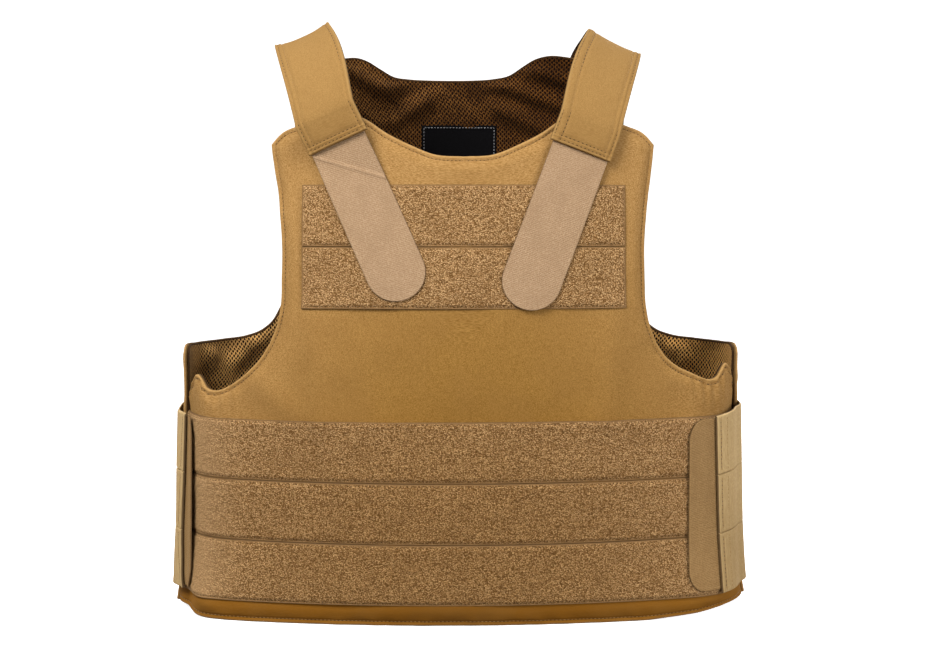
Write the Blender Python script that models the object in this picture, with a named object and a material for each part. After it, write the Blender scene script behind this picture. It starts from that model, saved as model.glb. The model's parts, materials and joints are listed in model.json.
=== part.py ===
"""Armor carrier vest, standing open on its hem as it would be worn.

A padded front panel and a longer padded back panel, each with a mesh lining, are closed at the
sides by three elastic bands on a hook tab and over the shoulders by two straps with round hook
tabs. Loop strips on the chest and the belly take the hooks.

Metres, +Z up. The front faces -Y and the wearer's left is +X. The origin is under the middle of
the vest, on the surface that its hem stands on.

Each panel is drawn flat, in a pattern of across (distance round the body from the panel's centre
line) and up (height), and is then wrapped round a section of two arcs: a wide one over the front
or back, and a tight one round the side.
"""

from collections import namedtuple
from math import asin, atan, atan2, cos, exp, hypot, pi, radians, sin

import bmesh
import bpy
import numpy as np
from mathutils import Vector

Section = namedtuple("Section", "up half_width depth corner_radius")
OutlinePoint = namedtuple("OutlinePoint", "at value")
Fold = namedtuple("Fold", "across_a up_a across_b up_b radius lift")
Panel = namedtuple(
    "Panel",
    "facing sections armhole side_top top_edge folds side_overlap middle_columns chest_rows",
)
StrapRoute = namedtuple(
    "StrapRoute",
    "sign tab_across tab_up end_across end_up apex_across apex_up apex_tilt back_across",
)
SideRoute = namedtuple("SideRoute", "sign tab_front band_front")

FRONT_FACING, BACK_FACING = -1, 1

# Brings the middle of the whole vest over the origin, since the front carries more layers
MIDDLE_SHIFT = 0.0011

# Layers, counted outwards from the inner face of a panel
PANEL_THICKNESS = 0.0070
RIM_THICKNESS = 0.0030
RIM_WIDTH = 0.0130
SIDE_FLAP_WIDTH = 0.0300
SIDE_FLAP_RAMP = 0.0400
LINING_THICKNESS = 0.0016
LINING_INSET = 0.0035
LAYER_GAP = 0.0006
LOOP_THICKNESS = 0.0018
HOOK_THICKNESS = 0.0015
STRAP_THICKNESS = 0.0036
ELASTIC_THICKNESS = 0.0016
LABEL_THICKNESS = 0.0010

# How far each layer lies off a panel's outer face
LOOP_LIFT = 0.0009
HOOK_LIFT = LOOP_LIFT + LOOP_THICKNESS + LAYER_GAP
STRAP_LIFT = HOOK_LIFT + HOOK_THICKNESS + LAYER_GAP

# Two inch tape, which sets the rows of loop, the hook tabs and the elastic bands
TAPE_WIDTH = 0.0508
ROW_GAP = 0.0024
CHEST_LOOP_HALF_LENGTH = 0.1380
CHEST_LOOP_BOTTOM = 0.2730
BELLY_LOOP_BOTTOM = 0.0180
BELLY_LOOP_SIDE_MARGIN = 0.0140
BELLY_ROW_NAMES = ("lower", "middle", "upper")

# Heights of the pattern's rows below the armholes
BELLY_ROWS = (0.0, 0.0150, 0.0340, 0.0690, 0.1220, 0.1760)
SIDE_COLUMNS = 9

FRONT = Panel(
    facing=FRONT_FACING,
    sections=(
        Section(0.000, 0.2515, 0.0980, 0.0640),
        Section(0.015, 0.2470, 0.1000, 0.0700),
        Section(0.060, 0.2452, 0.1008, 0.0725),
        Section(0.130, 0.2445, 0.1020, 0.0740),
        Section(0.210, 0.2440, 0.1010, 0.0740),
        Section(0.300, 0.2360, 0.0960, 0.0700),
        Section(0.380, 0.2300, 0.0880, 0.0600),
        Section(0.450, 0.2250, 0.0790, 0.0450),
    ),
    armhole=(
        OutlinePoint(0.2420, 0.1700),
        OutlinePoint(0.2560, 0.1640),
        OutlinePoint(0.2740, 0.1600),
        OutlinePoint(0.2960, 0.1580),
        OutlinePoint(0.3360, 0.1580),
        OutlinePoint(0.3640, 0.1605),
        OutlinePoint(0.3840, 0.1630),
        OutlinePoint(0.4140, 0.1670),
    ),
    side_top=(
        OutlinePoint(0.1700, 0.2420),
        OutlinePoint(0.1780, 0.2295),
        OutlinePoint(0.1880, 0.2185),
        OutlinePoint(0.2010, 0.2085),
        OutlinePoint(0.2160, 0.2020),
        OutlinePoint(0.2400, 0.1990),
        OutlinePoint(0.2640, 0.2000),
        OutlinePoint(0.2800, 0.2050),
        OutlinePoint(0.2950, 0.2080),
    ),
    top_edge=(
        OutlinePoint(0.0000, 0.4030),
        OutlinePoint(0.0260, 0.4050),
        OutlinePoint(0.0460, 0.4130),
        OutlinePoint(0.0660, 0.4230),
        OutlinePoint(0.0860, 0.4360),
        OutlinePoint(0.0970, 0.4400),
        OutlinePoint(0.1120, 0.4375),
        OutlinePoint(0.1280, 0.4335),
        OutlinePoint(0.1450, 0.4270),
        OutlinePoint(0.1590, 0.4205),
        OutlinePoint(0.1670, 0.4140),
    ),
    folds=(
        Fold(-0.1300, 0.2600, -0.1260, 0.1900, 0.0160, 0.0020),
        Fold(-0.1560, 0.3750, -0.1450, 0.3900, 0.0180, -0.0022),
        Fold(0.1500, 0.2600, 0.1350, 0.1900, 0.0200, 0.0018),
    ),
    side_overlap=0.0050,
    middle_columns=20,
    chest_rows=8,
)

BACK = Panel(
    facing=BACK_FACING,
    sections=(
        Section(0.000, 0.2590, 0.0985, 0.0660),
        Section(0.015, 0.2545, 0.1000, 0.0705),
        Section(0.060, 0.2527, 0.1010, 0.0725),
        Section(0.130, 0.2520, 0.1020, 0.0740),
        Section(0.250, 0.2510, 0.1025, 0.0740),
        Section(0.380, 0.2420, 0.0980, 0.0640),
        Section(0.460, 0.2350, 0.0890, 0.0500),
        Section(0.515, 0.2300, 0.0800, 0.0420),
    ),
    armhole=(
        OutlinePoint(0.2600, 0.1740),
        OutlinePoint(0.2850, 0.1650),
        OutlinePoint(0.3200, 0.1580),
        OutlinePoint(0.3800, 0.1560),
        OutlinePoint(0.4300, 0.1600),
        OutlinePoint(0.4625, 0.1650),
    ),
    side_top=(
        OutlinePoint(0.1740, 0.2600),
        OutlinePoint(0.1800, 0.2525),
        OutlinePoint(0.1900, 0.2425),
        OutlinePoint(0.2050, 0.2360),
        OutlinePoint(0.2300, 0.2325),
        OutlinePoint(0.2700, 0.2300),
        OutlinePoint(0.3080, 0.2275),
    ),
    top_edge=(
        OutlinePoint(0.0000, 0.4787),
        OutlinePoint(0.0200, 0.4792),
        OutlinePoint(0.0400, 0.4812),
        OutlinePoint(0.0560, 0.4860),
        OutlinePoint(0.0680, 0.4935),
        OutlinePoint(0.0800, 0.5005),
        OutlinePoint(0.0920, 0.5034),
        OutlinePoint(0.1040, 0.5024),
        OutlinePoint(0.1180, 0.4990),
        OutlinePoint(0.1340, 0.4925),
        OutlinePoint(0.1500, 0.4830),
        OutlinePoint(0.1600, 0.4735),
        OutlinePoint(0.1650, 0.4625),
    ),
    folds=(
        Fold(-0.0960, 0.4490, -0.0560, 0.4630, 0.0220, 0.0030),
        Fold(-0.0850, 0.5020, -0.0800, 0.4870, 0.0200, -0.0030),
        Fold(0.0540, 0.4730, 0.0960, 0.4630, 0.0220, 0.0030),
        Fold(0.0850, 0.5020, 0.0780, 0.4870, 0.0200, -0.0030),
    ),
    side_overlap=0.0120,
    middle_columns=20,
    chest_rows=11,
)

# The shoulder straps, one row for each side of the wearer
STRAP_WIDTH = 0.0540
STRAP_ROUTES = {
    "left": StrapRoute(1, 0.0565, 0.2965, 0.1005, 0.4070, 0.1385, 0.5085, 26.0, 0.1330),
    "right": StrapRoute(-1, 0.0580, 0.3030, 0.1080, 0.4125, 0.1440, 0.5145, 23.5, 0.1340),
}
STRAP_ON_FRONT = 0.0260
STRAP_ON_BACK = 0.0420
STRAP_BACK_UP = 0.4930
STRAP_BACK_TILT = 20.0
STRAP_APEX_DEPTH = 0.0120
ARCH_PULL = 0.95
TAB_UNDER_STRAP = 0.0220
TAB_TIP_HALF_WIDTH = 0.0060
TAB_TIP_ROWS = 5
TAB_STRAIGHT_ROWS = 7
TAB_COLUMNS = 4
STRAP_FRONT_ROWS = 2
STRAP_ARCH_ROWS = 7
STRAP_BACK_ROWS = 2

# The side closure, one row for each side of the wearer: the right one is pulled further round
SIDE_ROUTES = {
    "left": SideRoute(1, 0.1957, 0.2257),
    "right": SideRoute(-1, 0.2505, 0.2645),
}
SIDE_TAB_WIDTH = 0.0470
SIDE_TAB_BOTTOM = 0.0220
SIDE_TAB_TOP = 0.1725
SIDE_TAB_CORNER = 0.0120
BAND_WIDTH = 0.0505
BAND_BOTTOM = 0.0200
BAND_PITCH = 0.0524
BAND_BACK_END = 0.1720
BAND_GAP = 0.0009
BAND_COLUMNS = 22
BAND_ROWS = 2
GIRDLE_SPREAD_FROM = 0.2150
GIRDLE_MARGIN = 0.0050
GIRDLE_BLEND = 0.0180
BAND_SETTLE = 0.0180

LABEL_HALF_WIDTH = 0.0340
LABEL_BOTTOM = 0.3905
LABEL_TOP = 0.4365

MATERIALS = {
    "tan_nylon": ((0.36, 0.20, 0.065), 0.82),
    "tan_loop": ((0.30, 0.175, 0.080), 0.95),
    "tan_hook": ((0.42, 0.27, 0.145), 0.75),
    "tan_elastic": ((0.40, 0.28, 0.140), 0.80),
    "brown_mesh": ((0.085, 0.042, 0.016), 0.90),
    "black_label": ((0.006, 0.006, 0.007), 0.80),
}


def smooth_step(x):
    x = min(max(x, 0.0), 1.0)
    return x * x * (3 - 2 * x)


def read_curve(points, values, at):
    """The value at one place on a smooth curve through a table, by cubic pieces."""
    slopes = np.gradient(np.array(values), np.array(points))
    at = min(max(at, points[0]), points[-1])
    k = min(int(np.searchsorted(points, at, side="right")) - 1, len(points) - 2)
    span = points[k + 1] - points[k]
    t = (at - points[k]) / span
    return float(
        (1 + 2 * t) * (1 - t) ** 2 * values[k]
        + t * (1 - t) ** 2 * span * slopes[k]
        + t * t * (3 - 2 * t) * values[k + 1]
        + t * t * (t - 1) * span * slopes[k + 1]
    )


def read_outline(outline, at):
    return read_curve([p.at for p in outline], [p.value for p in outline], at)


def section_at(panel, up):
    """Half width, depth and corner radius of the body's section at one height."""
    ups = [row.up for row in panel.sections]
    return [
        read_curve(ups, [getattr(row, name) for row in panel.sections], up)
        for name in ("half_width", "depth", "corner_radius")
    ]


def arcs_at(panel, up):
    """The wide arc's radius and turn, and the lengths of both arcs."""
    half_width, depth, corner = section_at(panel, up)
    turn = 2 * atan2(depth - corner, half_width - corner)
    radius = corner + (half_width - corner) / sin(turn)
    return radius, turn, radius * turn, corner * (pi / 2 - turn)


def half_girth(panel, up):
    """Distance round the section from the centre line to the side of the body."""
    return sum(arcs_at(panel, up)[2:])


def fold_lift(panel, across, up):
    """How far the panel's soft folds push its surface out at a point of the pattern."""
    total = 0.0
    for fold in panel.folds:
        run = (fold.across_b - fold.across_a, fold.up_b - fold.up_a)
        start = (across - fold.across_a, up - fold.up_a)
        share = (start[0] * run[0] + start[1] * run[1]) / (run[0] ** 2 + run[1] ** 2)
        share = min(max(share, 0.0), 1.0)
        away = hypot(start[0] - share * run[0], start[1] - share * run[1])
        total += fold.lift * exp(-((away / fold.radius) ** 2))
    return total


def wrap(panel, across, up, lift):
    """The place in space of a pattern point, raised by lift from the panel's inner face."""
    half_width, depth, corner = section_at(panel, up)
    radius, turn, wide, tight = arcs_at(panel, up)
    run = abs(across)
    if run <= wide:
        angle = run / radius
        x, y = radius * sin(angle), radius * (1 - cos(angle))
    elif run <= wide + tight:
        angle = turn + (run - wide) / corner
        x = radius * sin(turn) + corner * (sin(angle) - sin(turn))
        y = radius * (1 - cos(turn)) + corner * (cos(turn) - cos(angle))
    else:
        angle = pi / 2
        x, y = half_width, depth + run - wide - tight
    lift += fold_lift(panel, across, up)
    x += lift * sin(angle)
    y -= lift * cos(angle)
    side = -1 if across < 0 else 1
    return Vector((side * x, panel.facing * (depth - y) + MIDDLE_SHIFT, up))


def side_end(panel):
    """Distance round the body from a panel's centre line to its side edge."""
    return half_girth(panel, 0.12) + panel.side_overlap


def padding_at(panel, across):
    """A panel's thickness away from its outline. The side flaps hold no padding."""
    from_side = side_end(panel) - abs(across)
    share = smooth_step((from_side - SIDE_FLAP_WIDTH) / SIDE_FLAP_RAMP)
    return RIM_THICKNESS + (PANEL_THICKNESS - RIM_THICKNESS) * share


def wrap_outside(panel, across, up, lift):
    """The place of a pattern point raised by lift from the panel's outer face."""
    return wrap(panel, across, up, padding_at(panel, across) + lift)


def pattern_point(panel, column, row):
    """The across and up of one corner of a panel's grid, and which edges it lies on."""
    join_up, join_across = panel.armhole[0]
    corner_up = panel.armhole[-1].at
    from_centre = column - SIDE_COLUMNS - panel.middle_columns / 2
    side = -1 if from_centre < 0 else 1
    step = abs(from_centre)
    half_columns = panel.middle_columns / 2
    last_belly_row = len(BELLY_ROWS)
    on_top = row == last_belly_row + panel.chest_rows
    if step > half_columns:
        share = (step - half_columns) / SIDE_COLUMNS
        across = join_across + share * (side_end(panel) - join_across)
        top = read_outline(panel.side_top, across)
        on_top = row == last_belly_row
        up = top if on_top else BELLY_ROWS[row] * top / join_up
        return side, across, up, share == 1, on_top
    share = step / half_columns
    on_armhole = share == 1 and row >= last_belly_row
    if row <= last_belly_row:
        up = join_up if row == last_belly_row else BELLY_ROWS[row]
        return side, share * join_across, up, on_armhole, on_armhole
    rise = (row - last_belly_row) / panel.chest_rows
    edge_up = join_up + rise * (corner_up - join_up)
    across = share * read_outline(panel.armhole, edge_up)
    top = read_outline(panel.top_edge, share * panel.armhole[-1].value)
    return side, across, join_up + rise * (top - join_up), on_armhole, on_top


def outline_points(panel):
    """Points along half of a panel's outline, for measuring how near its edge a point lies."""
    end = side_end(panel)
    steps = np.linspace(0, 1, 60)
    hem = [(share * end, 0.0) for share in steps]
    side = [(end, share * read_outline(panel.side_top, end)) for share in steps]
    span = end - panel.side_top[0].at
    ear = [panel.side_top[0].at + share * span for share in steps]
    side_top = [(across, read_outline(panel.side_top, across)) for across in ear]
    low, high = panel.armhole[0].at, panel.armhole[-1].at
    armhole_ups = [low + share * (high - low) for share in steps]
    armhole = [(read_outline(panel.armhole, up), up) for up in armhole_ups]
    tops = [share * panel.armhole[-1].value for share in steps]
    top = [(across, read_outline(panel.top_edge, across)) for across in tops]
    return np.array(hem + side + side_top + armhole + top)


def cloth_material(name):
    colour, roughness = MATERIALS[name]
    material = bpy.data.materials.new(name)
    material.use_nodes = True
    shader = material.node_tree.nodes["Principled BSDF"]
    shader.inputs["Base Color"].default_value = (*colour, 1)
    shader.inputs["Roughness"].default_value = roughness
    shader.inputs["Metallic"].default_value = 0
    material.diffuse_color = (*colour, 1)
    return material


def make_slab(name, columns, rows, place, material, wanted=None):
    """One closed slab: a flat grid given a second layer, then each corner put where
    place(column, row, layer) says. Layer 0 is the inner face and layer 1 the outer one."""
    bm = bmesh.new()
    bmesh.ops.create_grid(bm, x_segments=columns, y_segments=rows, size=0.5)
    if wanted:
        spare = []
        for face in bm.faces:
            centre = face.calc_center_median()
            if not wanted((centre.x + 0.5) * columns, (centre.y + 0.5) * rows):
                spare.append(face)
        bmesh.ops.delete(bm, geom=spare, context="FACES")
    bmesh.ops.triangulate(bm, faces=bm.faces[:], quad_method="FIXED")
    bmesh.ops.solidify(bm, geom=bm.faces[:], thickness=1.0)
    bmesh.ops.recalc_face_normals(bm, faces=bm.faces[:])
    for vert in bm.verts:
        column = round((vert.co.x + 0.5) * columns)
        row = round((vert.co.y + 0.5) * rows)
        vert.co = place(column, row, round(abs(vert.co.z)))
    if bm.calc_volume(signed=True) < 0:
        bmesh.ops.reverse_faces(bm, faces=bm.faces[:])
    mesh = bpy.data.meshes.new(name)
    bm.to_mesh(mesh)
    bm.free()
    mesh.shade_smooth()
    mesh.set_sharp_from_angle(angle=radians(40))
    mesh.materials.append(materials[material])
    made = bpy.data.objects.new(name, mesh)
    vest.objects.link(made)
    return made


def panel_grid(panel):
    """Columns and rows of a panel's grid, and the test that leaves out what isn't cloth."""
    columns = panel.middle_columns + 2 * SIDE_COLUMNS
    rows = len(BELLY_ROWS) + panel.chest_rows

    def wanted(column, row):
        in_middle = SIDE_COLUMNS < column < SIDE_COLUMNS + panel.middle_columns
        return in_middle or row < len(BELLY_ROWS)

    return columns, rows, wanted


def make_panel(name, panel):
    """A padded panel: full thickness inside, and a thin sewn rim round its outline."""
    columns, rows, wanted = panel_grid(panel)
    outline = outline_points(panel)

    def place(column, row, layer):
        side, across, up = pattern_point(panel, column, row)[:3]
        away = np.hypot(outline[:, 0] - across, outline[:, 1] - up).min()
        padding = (padding_at(panel, across) - RIM_THICKNESS) * smooth_step(away / RIM_WIDTH)
        return wrap(panel, side * across, up, layer * (RIM_THICKNESS + padding))

    make_slab(name, columns, rows, place, "tan_nylon", wanted)


def make_lining(name, panel):
    """The mesh lining on the side of a panel that lies against the body."""
    columns, rows, wanted = panel_grid(panel)

    def place(column, row, layer):
        side, across, up, on_side, on_top = pattern_point(panel, column, row)
        across -= LINING_INSET * on_side
        up += LINING_INSET * ((row == 0) - on_top)
        return wrap(panel, side * across, up, -LAYER_GAP - (1 - layer) * LINING_THICKNESS)

    make_slab(name, columns, rows, place, "brown_mesh", wanted)


def make_patch(name, panel, put, half_length, bottom, top, lifts, columns, rows, material):
    """A straight strip sewn level on a panel. lifts are its inner and outer faces, counted
    from the face of the panel that put starts at."""

    def place(column, row, layer):
        across = (2 * column / columns - 1) * half_length
        return put(panel, across, bottom + (top - bottom) * row / rows, lifts[layer])

    make_slab(name, columns, rows, place, material)


def make_loops():
    lifts = (LOOP_LIFT, LOOP_LIFT + LOOP_THICKNESS)
    belly_half_length = side_end(FRONT) - BELLY_LOOP_SIDE_MARGIN
    for number, row_name in enumerate(BELLY_ROW_NAMES):
        bottom = BELLY_LOOP_BOTTOM + number * (TAPE_WIDTH + ROW_GAP)
        name = "belly_loop_" + row_name
        size = (belly_half_length, bottom, bottom + TAPE_WIDTH)
        make_patch(name, FRONT, wrap_outside, *size, lifts, 38, 2, "tan_loop")
    for number, row_name in enumerate(("lower", "upper")):
        bottom = CHEST_LOOP_BOTTOM + number * (TAPE_WIDTH + ROW_GAP)
        name = "chest_loop_" + row_name
        size = (CHEST_LOOP_HALF_LENGTH, bottom, bottom + TAPE_WIDTH)
        make_patch(name, FRONT, wrap_outside, *size, lifts, 14, 2, "tan_loop")


def strap_axes(route):
    """The strap's direction up the chest and across itself, in the front's pattern."""
    rise = (route.end_across - route.tab_across, route.end_up - route.tab_up)
    length = hypot(*rise)
    along = (rise[0] / length, rise[1] / length)
    return along, (along[1], -along[0])


def chest_point(route, start, along_by, outward_by, lift):
    """A point of a strap or its tab where it lies on the chest."""
    along, outward = strap_axes(route)
    across = start[0] + along[0] * along_by + outward[0] * outward_by
    up = start[1] + along[1] * along_by + outward[1] * outward_by
    return wrap_outside(FRONT, route.sign * across, up, lift)


def shoulder_point(route, down_by, outward_by, lift):
    """A point of a strap where it lies on the outside of the back panel."""
    tilt = radians(STRAP_BACK_TILT)
    across = route.back_across - sin(tilt) * down_by + cos(tilt) * outward_by
    up = STRAP_BACK_UP - cos(tilt) * down_by - sin(tilt) * outward_by
    return wrap_outside(BACK, route.sign * across, up, lift)


def frame_of(point_at):
    """Place, direction and width direction of the strap where it leaves a panel."""
    step = 0.002
    place = point_at(0.0, 0.0)
    return place, (point_at(step, 0.0) - place) / step, (point_at(0.0, step) - place) / step


def arch_frames(route):
    """The three places that shape a strap's arch: off the chest, over the top, onto the back."""
    start = (route.end_across, route.end_up)
    chest = frame_of(
        lambda along, out: chest_point(route, start, STRAP_ON_FRONT + along, out, STRAP_LIFT)
    )
    tilt = radians(route.apex_tilt)
    apex = (
        Vector((route.sign * route.apex_across, STRAP_APEX_DEPTH, route.apex_up)),
        Vector((0, 1, 0)),
        Vector((route.sign * cos(tilt), 0, -sin(tilt))),
    )
    back = frame_of(lambda down, out: shoulder_point(route, down, out, LOOP_LIFT))
    return chest, apex, back


def arch_point(frames, share, outward_by, lift):
    """A point of a strap between the chest and the back, by two cubic pieces."""

    def middle(at):
        first, second = frames[:2] if at < 0.5 else frames[1:]
        t = 2 * at if at < 0.5 else 2 * at - 1
        pull = ARCH_PULL * (second[0] - first[0]).length
        return (
            (1 + 2 * t) * (1 - t) ** 2 * first[0]
            + t * (1 - t) ** 2 * pull * first[1].normalized()
            + t * t * (3 - 2 * t) * second[0]
            + t * t * (t - 1) * pull * second[1].normalized()
        )

    first, second = frames[:2] if share < 0.5 else frames[1:]
    blend = smooth_step(2 * share if share < 0.5 else 2 * share - 1)
    width = (first[2].normalized() * (1 - blend) + second[2].normalized() * blend).normalized()
    step = 0.002
    ahead = middle(min(share + step, 1.0)) - middle(max(share - step, 0.0))
    face = width.cross(ahead).normalized()
    outside = 1 if face.dot(Vector((0, 0.3, 1))) > 0 else -1
    if share < 0.25:
        outside = 1 if face.y < 0 else -1
    return middle(share) + width * outward_by + face * outside * lift


def make_strap(name, route):
    """One shoulder strap, from its sewn end on the chest over the shoulder to the back."""
    start = (route.end_across, route.end_up)
    frames = arch_frames(route)
    rows = STRAP_FRONT_ROWS + STRAP_ARCH_ROWS + STRAP_BACK_ROWS

    def place(column, row, layer):
        out = (column / TAB_COLUMNS - 0.5) * STRAP_WIDTH
        lift = layer * STRAP_THICKNESS
        if row < STRAP_FRONT_ROWS:
            along = STRAP_ON_FRONT * row / STRAP_FRONT_ROWS
            return chest_point(route, start, along, out, STRAP_LIFT + lift)
        row -= STRAP_FRONT_ROWS
        if row <= STRAP_ARCH_ROWS:
            return arch_point(frames, row / STRAP_ARCH_ROWS, out, lift)
        down = STRAP_ON_BACK * (row - STRAP_ARCH_ROWS) / STRAP_BACK_ROWS
        return shoulder_point(route, down, out, LOOP_LIFT + lift)

    make_slab(name, TAB_COLUMNS, rows, place, "tan_nylon")


def make_strap_tab(name, route):
    """The hook tab under a strap's end, with a round tip on the chest loop."""
    start = (route.tab_across, route.tab_up)
    radius = TAPE_WIDTH / 2
    tip_angle = asin(TAB_TIP_HALF_WIDTH / radius)
    rise = hypot(route.end_across - route.tab_across, route.end_up - route.tab_up)
    straight = rise + TAB_UNDER_STRAP

    def place(column, row, layer):
        if row < TAB_TIP_ROWS:
            angle = tip_angle + (pi / 2 - tip_angle) * row / TAB_TIP_ROWS
            along, half_width = -radius * cos(angle), radius * sin(angle)
        else:
            along, half_width = straight * (row - TAB_TIP_ROWS) / TAB_STRAIGHT_ROWS, radius
        out = (2 * column / TAB_COLUMNS - 1) * half_width
        return chest_point(route, start, along, out, HOOK_LIFT + layer * HOOK_THICKNESS)

    make_slab(name, TAB_COLUMNS, TAB_TIP_ROWS + TAB_STRAIGHT_ROWS, place, "tan_hook")


def girdle_point(side, around, up, lift):
    """A point of the side closure, around being the distance from the front's centre line.
    It spreads from the belly loops out to the back panel's side, and goes on round the back."""
    front_half, back_half = half_girth(FRONT, up), half_girth(BACK, up)
    back_across = back_half + front_half - around
    over_back = wrap_outside(BACK, side * back_across, up, BAND_GAP + lift)
    reach = front_half - BACK.side_overlap - GIRDLE_MARGIN
    if around >= reach:
        return over_back
    widening = section_at(BACK, up)[0] - section_at(FRONT, up)[0]
    share = smooth_step((around - GIRDLE_SPREAD_FROM) / (reach - GIRDLE_SPREAD_FROM))
    base = HOOK_LIFT + share * (BAND_GAP + widening - HOOK_LIFT)
    over_front = wrap_outside(FRONT, side * around, up, base + lift)
    return over_front.lerp(over_back, smooth_step(1 - (reach - around) / GIRDLE_BLEND))


def make_side_tab(name, route):
    """The upright hook tab that ends the elastic bands, its front corners rounded."""
    columns, rows = 6, 8
    half_height = (SIDE_TAB_TOP - SIDE_TAB_BOTTOM) / 2
    corner = SIDE_TAB_CORNER

    def place(column, row, layer):
        away = SIDE_TAB_WIDTH * (column / columns) ** 1.5
        cut = corner - (corner**2 - max(corner - away, 0.0) ** 2) ** 0.5
        up = SIDE_TAB_BOTTOM + half_height + (2 * row / rows - 1) * (half_height - cut)
        around = route.tab_front + away
        return girdle_point(route.sign, around, up, layer * HOOK_THICKNESS)

    make_slab(name, columns, rows, place, "tan_hook")


def make_bands(side_name, route):
    """The three elastic bands of one side, from the hook tab round to the back panel."""
    tab_end = route.tab_front + SIDE_TAB_WIDTH
    over_tab = HOOK_THICKNESS + LAYER_GAP
    for number, row_name in enumerate(BELLY_ROW_NAMES):
        bottom = BAND_BOTTOM + number * BAND_PITCH
        girth = half_girth(FRONT, bottom) + half_girth(BACK, bottom)
        length = girth - BAND_BACK_END - route.band_front

        def place(column, row, layer):
            around = route.band_front + length * column / BAND_COLUMNS
            settled = smooth_step((around - tab_end) / BAND_SETTLE)
            lift = over_tab * (1 - settled) + layer * ELASTIC_THICKNESS
            up = bottom + BAND_WIDTH * row / BAND_ROWS
            return girdle_point(route.sign, around, up, lift)

        name = "side_elastic_" + side_name + "_" + row_name
        make_slab(name, BAND_COLUMNS, BAND_ROWS, place, "tan_elastic")


def make_label():
    outer = -2 * LAYER_GAP - LINING_THICKNESS
    lifts = (outer - LABEL_THICKNESS, outer)
    size = (LABEL_HALF_WIDTH, LABEL_BOTTOM, LABEL_TOP)
    make_patch("neck_label", BACK, wrap, *size, lifts, 6, 3, "black_label")


for old in list(bpy.data.objects):
    bpy.data.objects.remove(old)
vest = bpy.data.collections.new("armor_carrier_vest")
bpy.context.scene.collection.children.link(vest)
materials = {name: cloth_material(name) for name in MATERIALS}

make_panel("front_panel", FRONT)
make_lining("front_lining", FRONT)
make_panel("back_panel", BACK)
make_lining("back_lining", BACK)
make_loops()
make_label()
for side_name, strap_route in STRAP_ROUTES.items():
    make_strap("shoulder_strap_" + side_name, strap_route)
    make_strap_tab("strap_hook_" + side_name, strap_route)
for side_name, side_route in SIDE_ROUTES.items():
    make_side_tab("side_hook_" + side_name, side_route)
    make_bands(side_name, side_route)
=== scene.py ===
import json
from math import ceil, radians

import bpy
import numpy as np
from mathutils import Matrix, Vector

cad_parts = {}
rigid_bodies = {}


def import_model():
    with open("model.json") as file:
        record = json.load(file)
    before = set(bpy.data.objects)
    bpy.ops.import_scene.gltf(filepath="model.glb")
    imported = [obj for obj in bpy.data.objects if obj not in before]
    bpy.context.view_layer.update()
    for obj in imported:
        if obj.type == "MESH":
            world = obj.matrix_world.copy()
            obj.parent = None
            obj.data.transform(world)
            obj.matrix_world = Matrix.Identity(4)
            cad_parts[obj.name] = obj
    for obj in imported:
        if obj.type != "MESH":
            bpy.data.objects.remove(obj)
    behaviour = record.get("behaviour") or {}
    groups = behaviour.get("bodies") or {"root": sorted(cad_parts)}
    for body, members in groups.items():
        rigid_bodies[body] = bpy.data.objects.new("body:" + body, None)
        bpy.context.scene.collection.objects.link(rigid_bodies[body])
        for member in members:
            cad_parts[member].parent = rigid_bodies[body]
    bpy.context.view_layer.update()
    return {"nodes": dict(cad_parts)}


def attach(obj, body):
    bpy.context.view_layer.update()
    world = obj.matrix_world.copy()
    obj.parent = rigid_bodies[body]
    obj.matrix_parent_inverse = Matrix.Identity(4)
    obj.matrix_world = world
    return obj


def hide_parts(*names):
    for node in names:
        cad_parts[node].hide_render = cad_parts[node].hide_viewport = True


for old in list(bpy.data.objects):
    bpy.data.objects.remove(old)
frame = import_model()
print("frame loaded,", len(frame["nodes"]), "nodes")

# The vest stands on its hem, its front towards -Y and the wearer's left at +X. Every piece is drawn
# flat, in metres of across (distance round the body from a panel's centre line) and up (height),
# and is then wrapped on a section of two arcs, a wide one over the chest and a tight one at the side.

middleShift = 0.0011  # brings the whole vest's middle over the origin
# how the worn cloth departs from its flat pattern: each pair is a start, or a middle, and a length
stance = {
    "bodyRaise": 0.0022,  # everything above the hem
    "hemHeight": 0.0180,
    "earAcross": (0.1680, 0.0450),
    "earUp": (0.1840, 0.0140),
    "dipAcross": (-0.0850, 0.0280),
    "dipUp": (0.4300, 0.0500),
    "leanAcross": (0.0700, 0.0600),
    "leanUp": (0.4350, 0.0450),
}
layers = {
    "panel": 0.0070,
    "rim": 0.0030,
    "rimWidth": 0.0130,
    "sideFlap": 0.0300,
    "sideFlapRamp": 0.0400,
    "lining": 0.0016,
    "gap": 0.0006,
    "loop": 0.0018,
    "hook": 0.0015,
    "strap": 0.0036,
    "elastic": 0.0016,
    "label": 0.0010,
}
loopLift = 0.0009
hookLift = loopLift + layers["loop"] + layers["gap"]
strapLift = hookLift + layers["hook"] + layers["gap"]
tapeWidth = 0.0508  # two inch tape
rowGap = 0.0024

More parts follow.
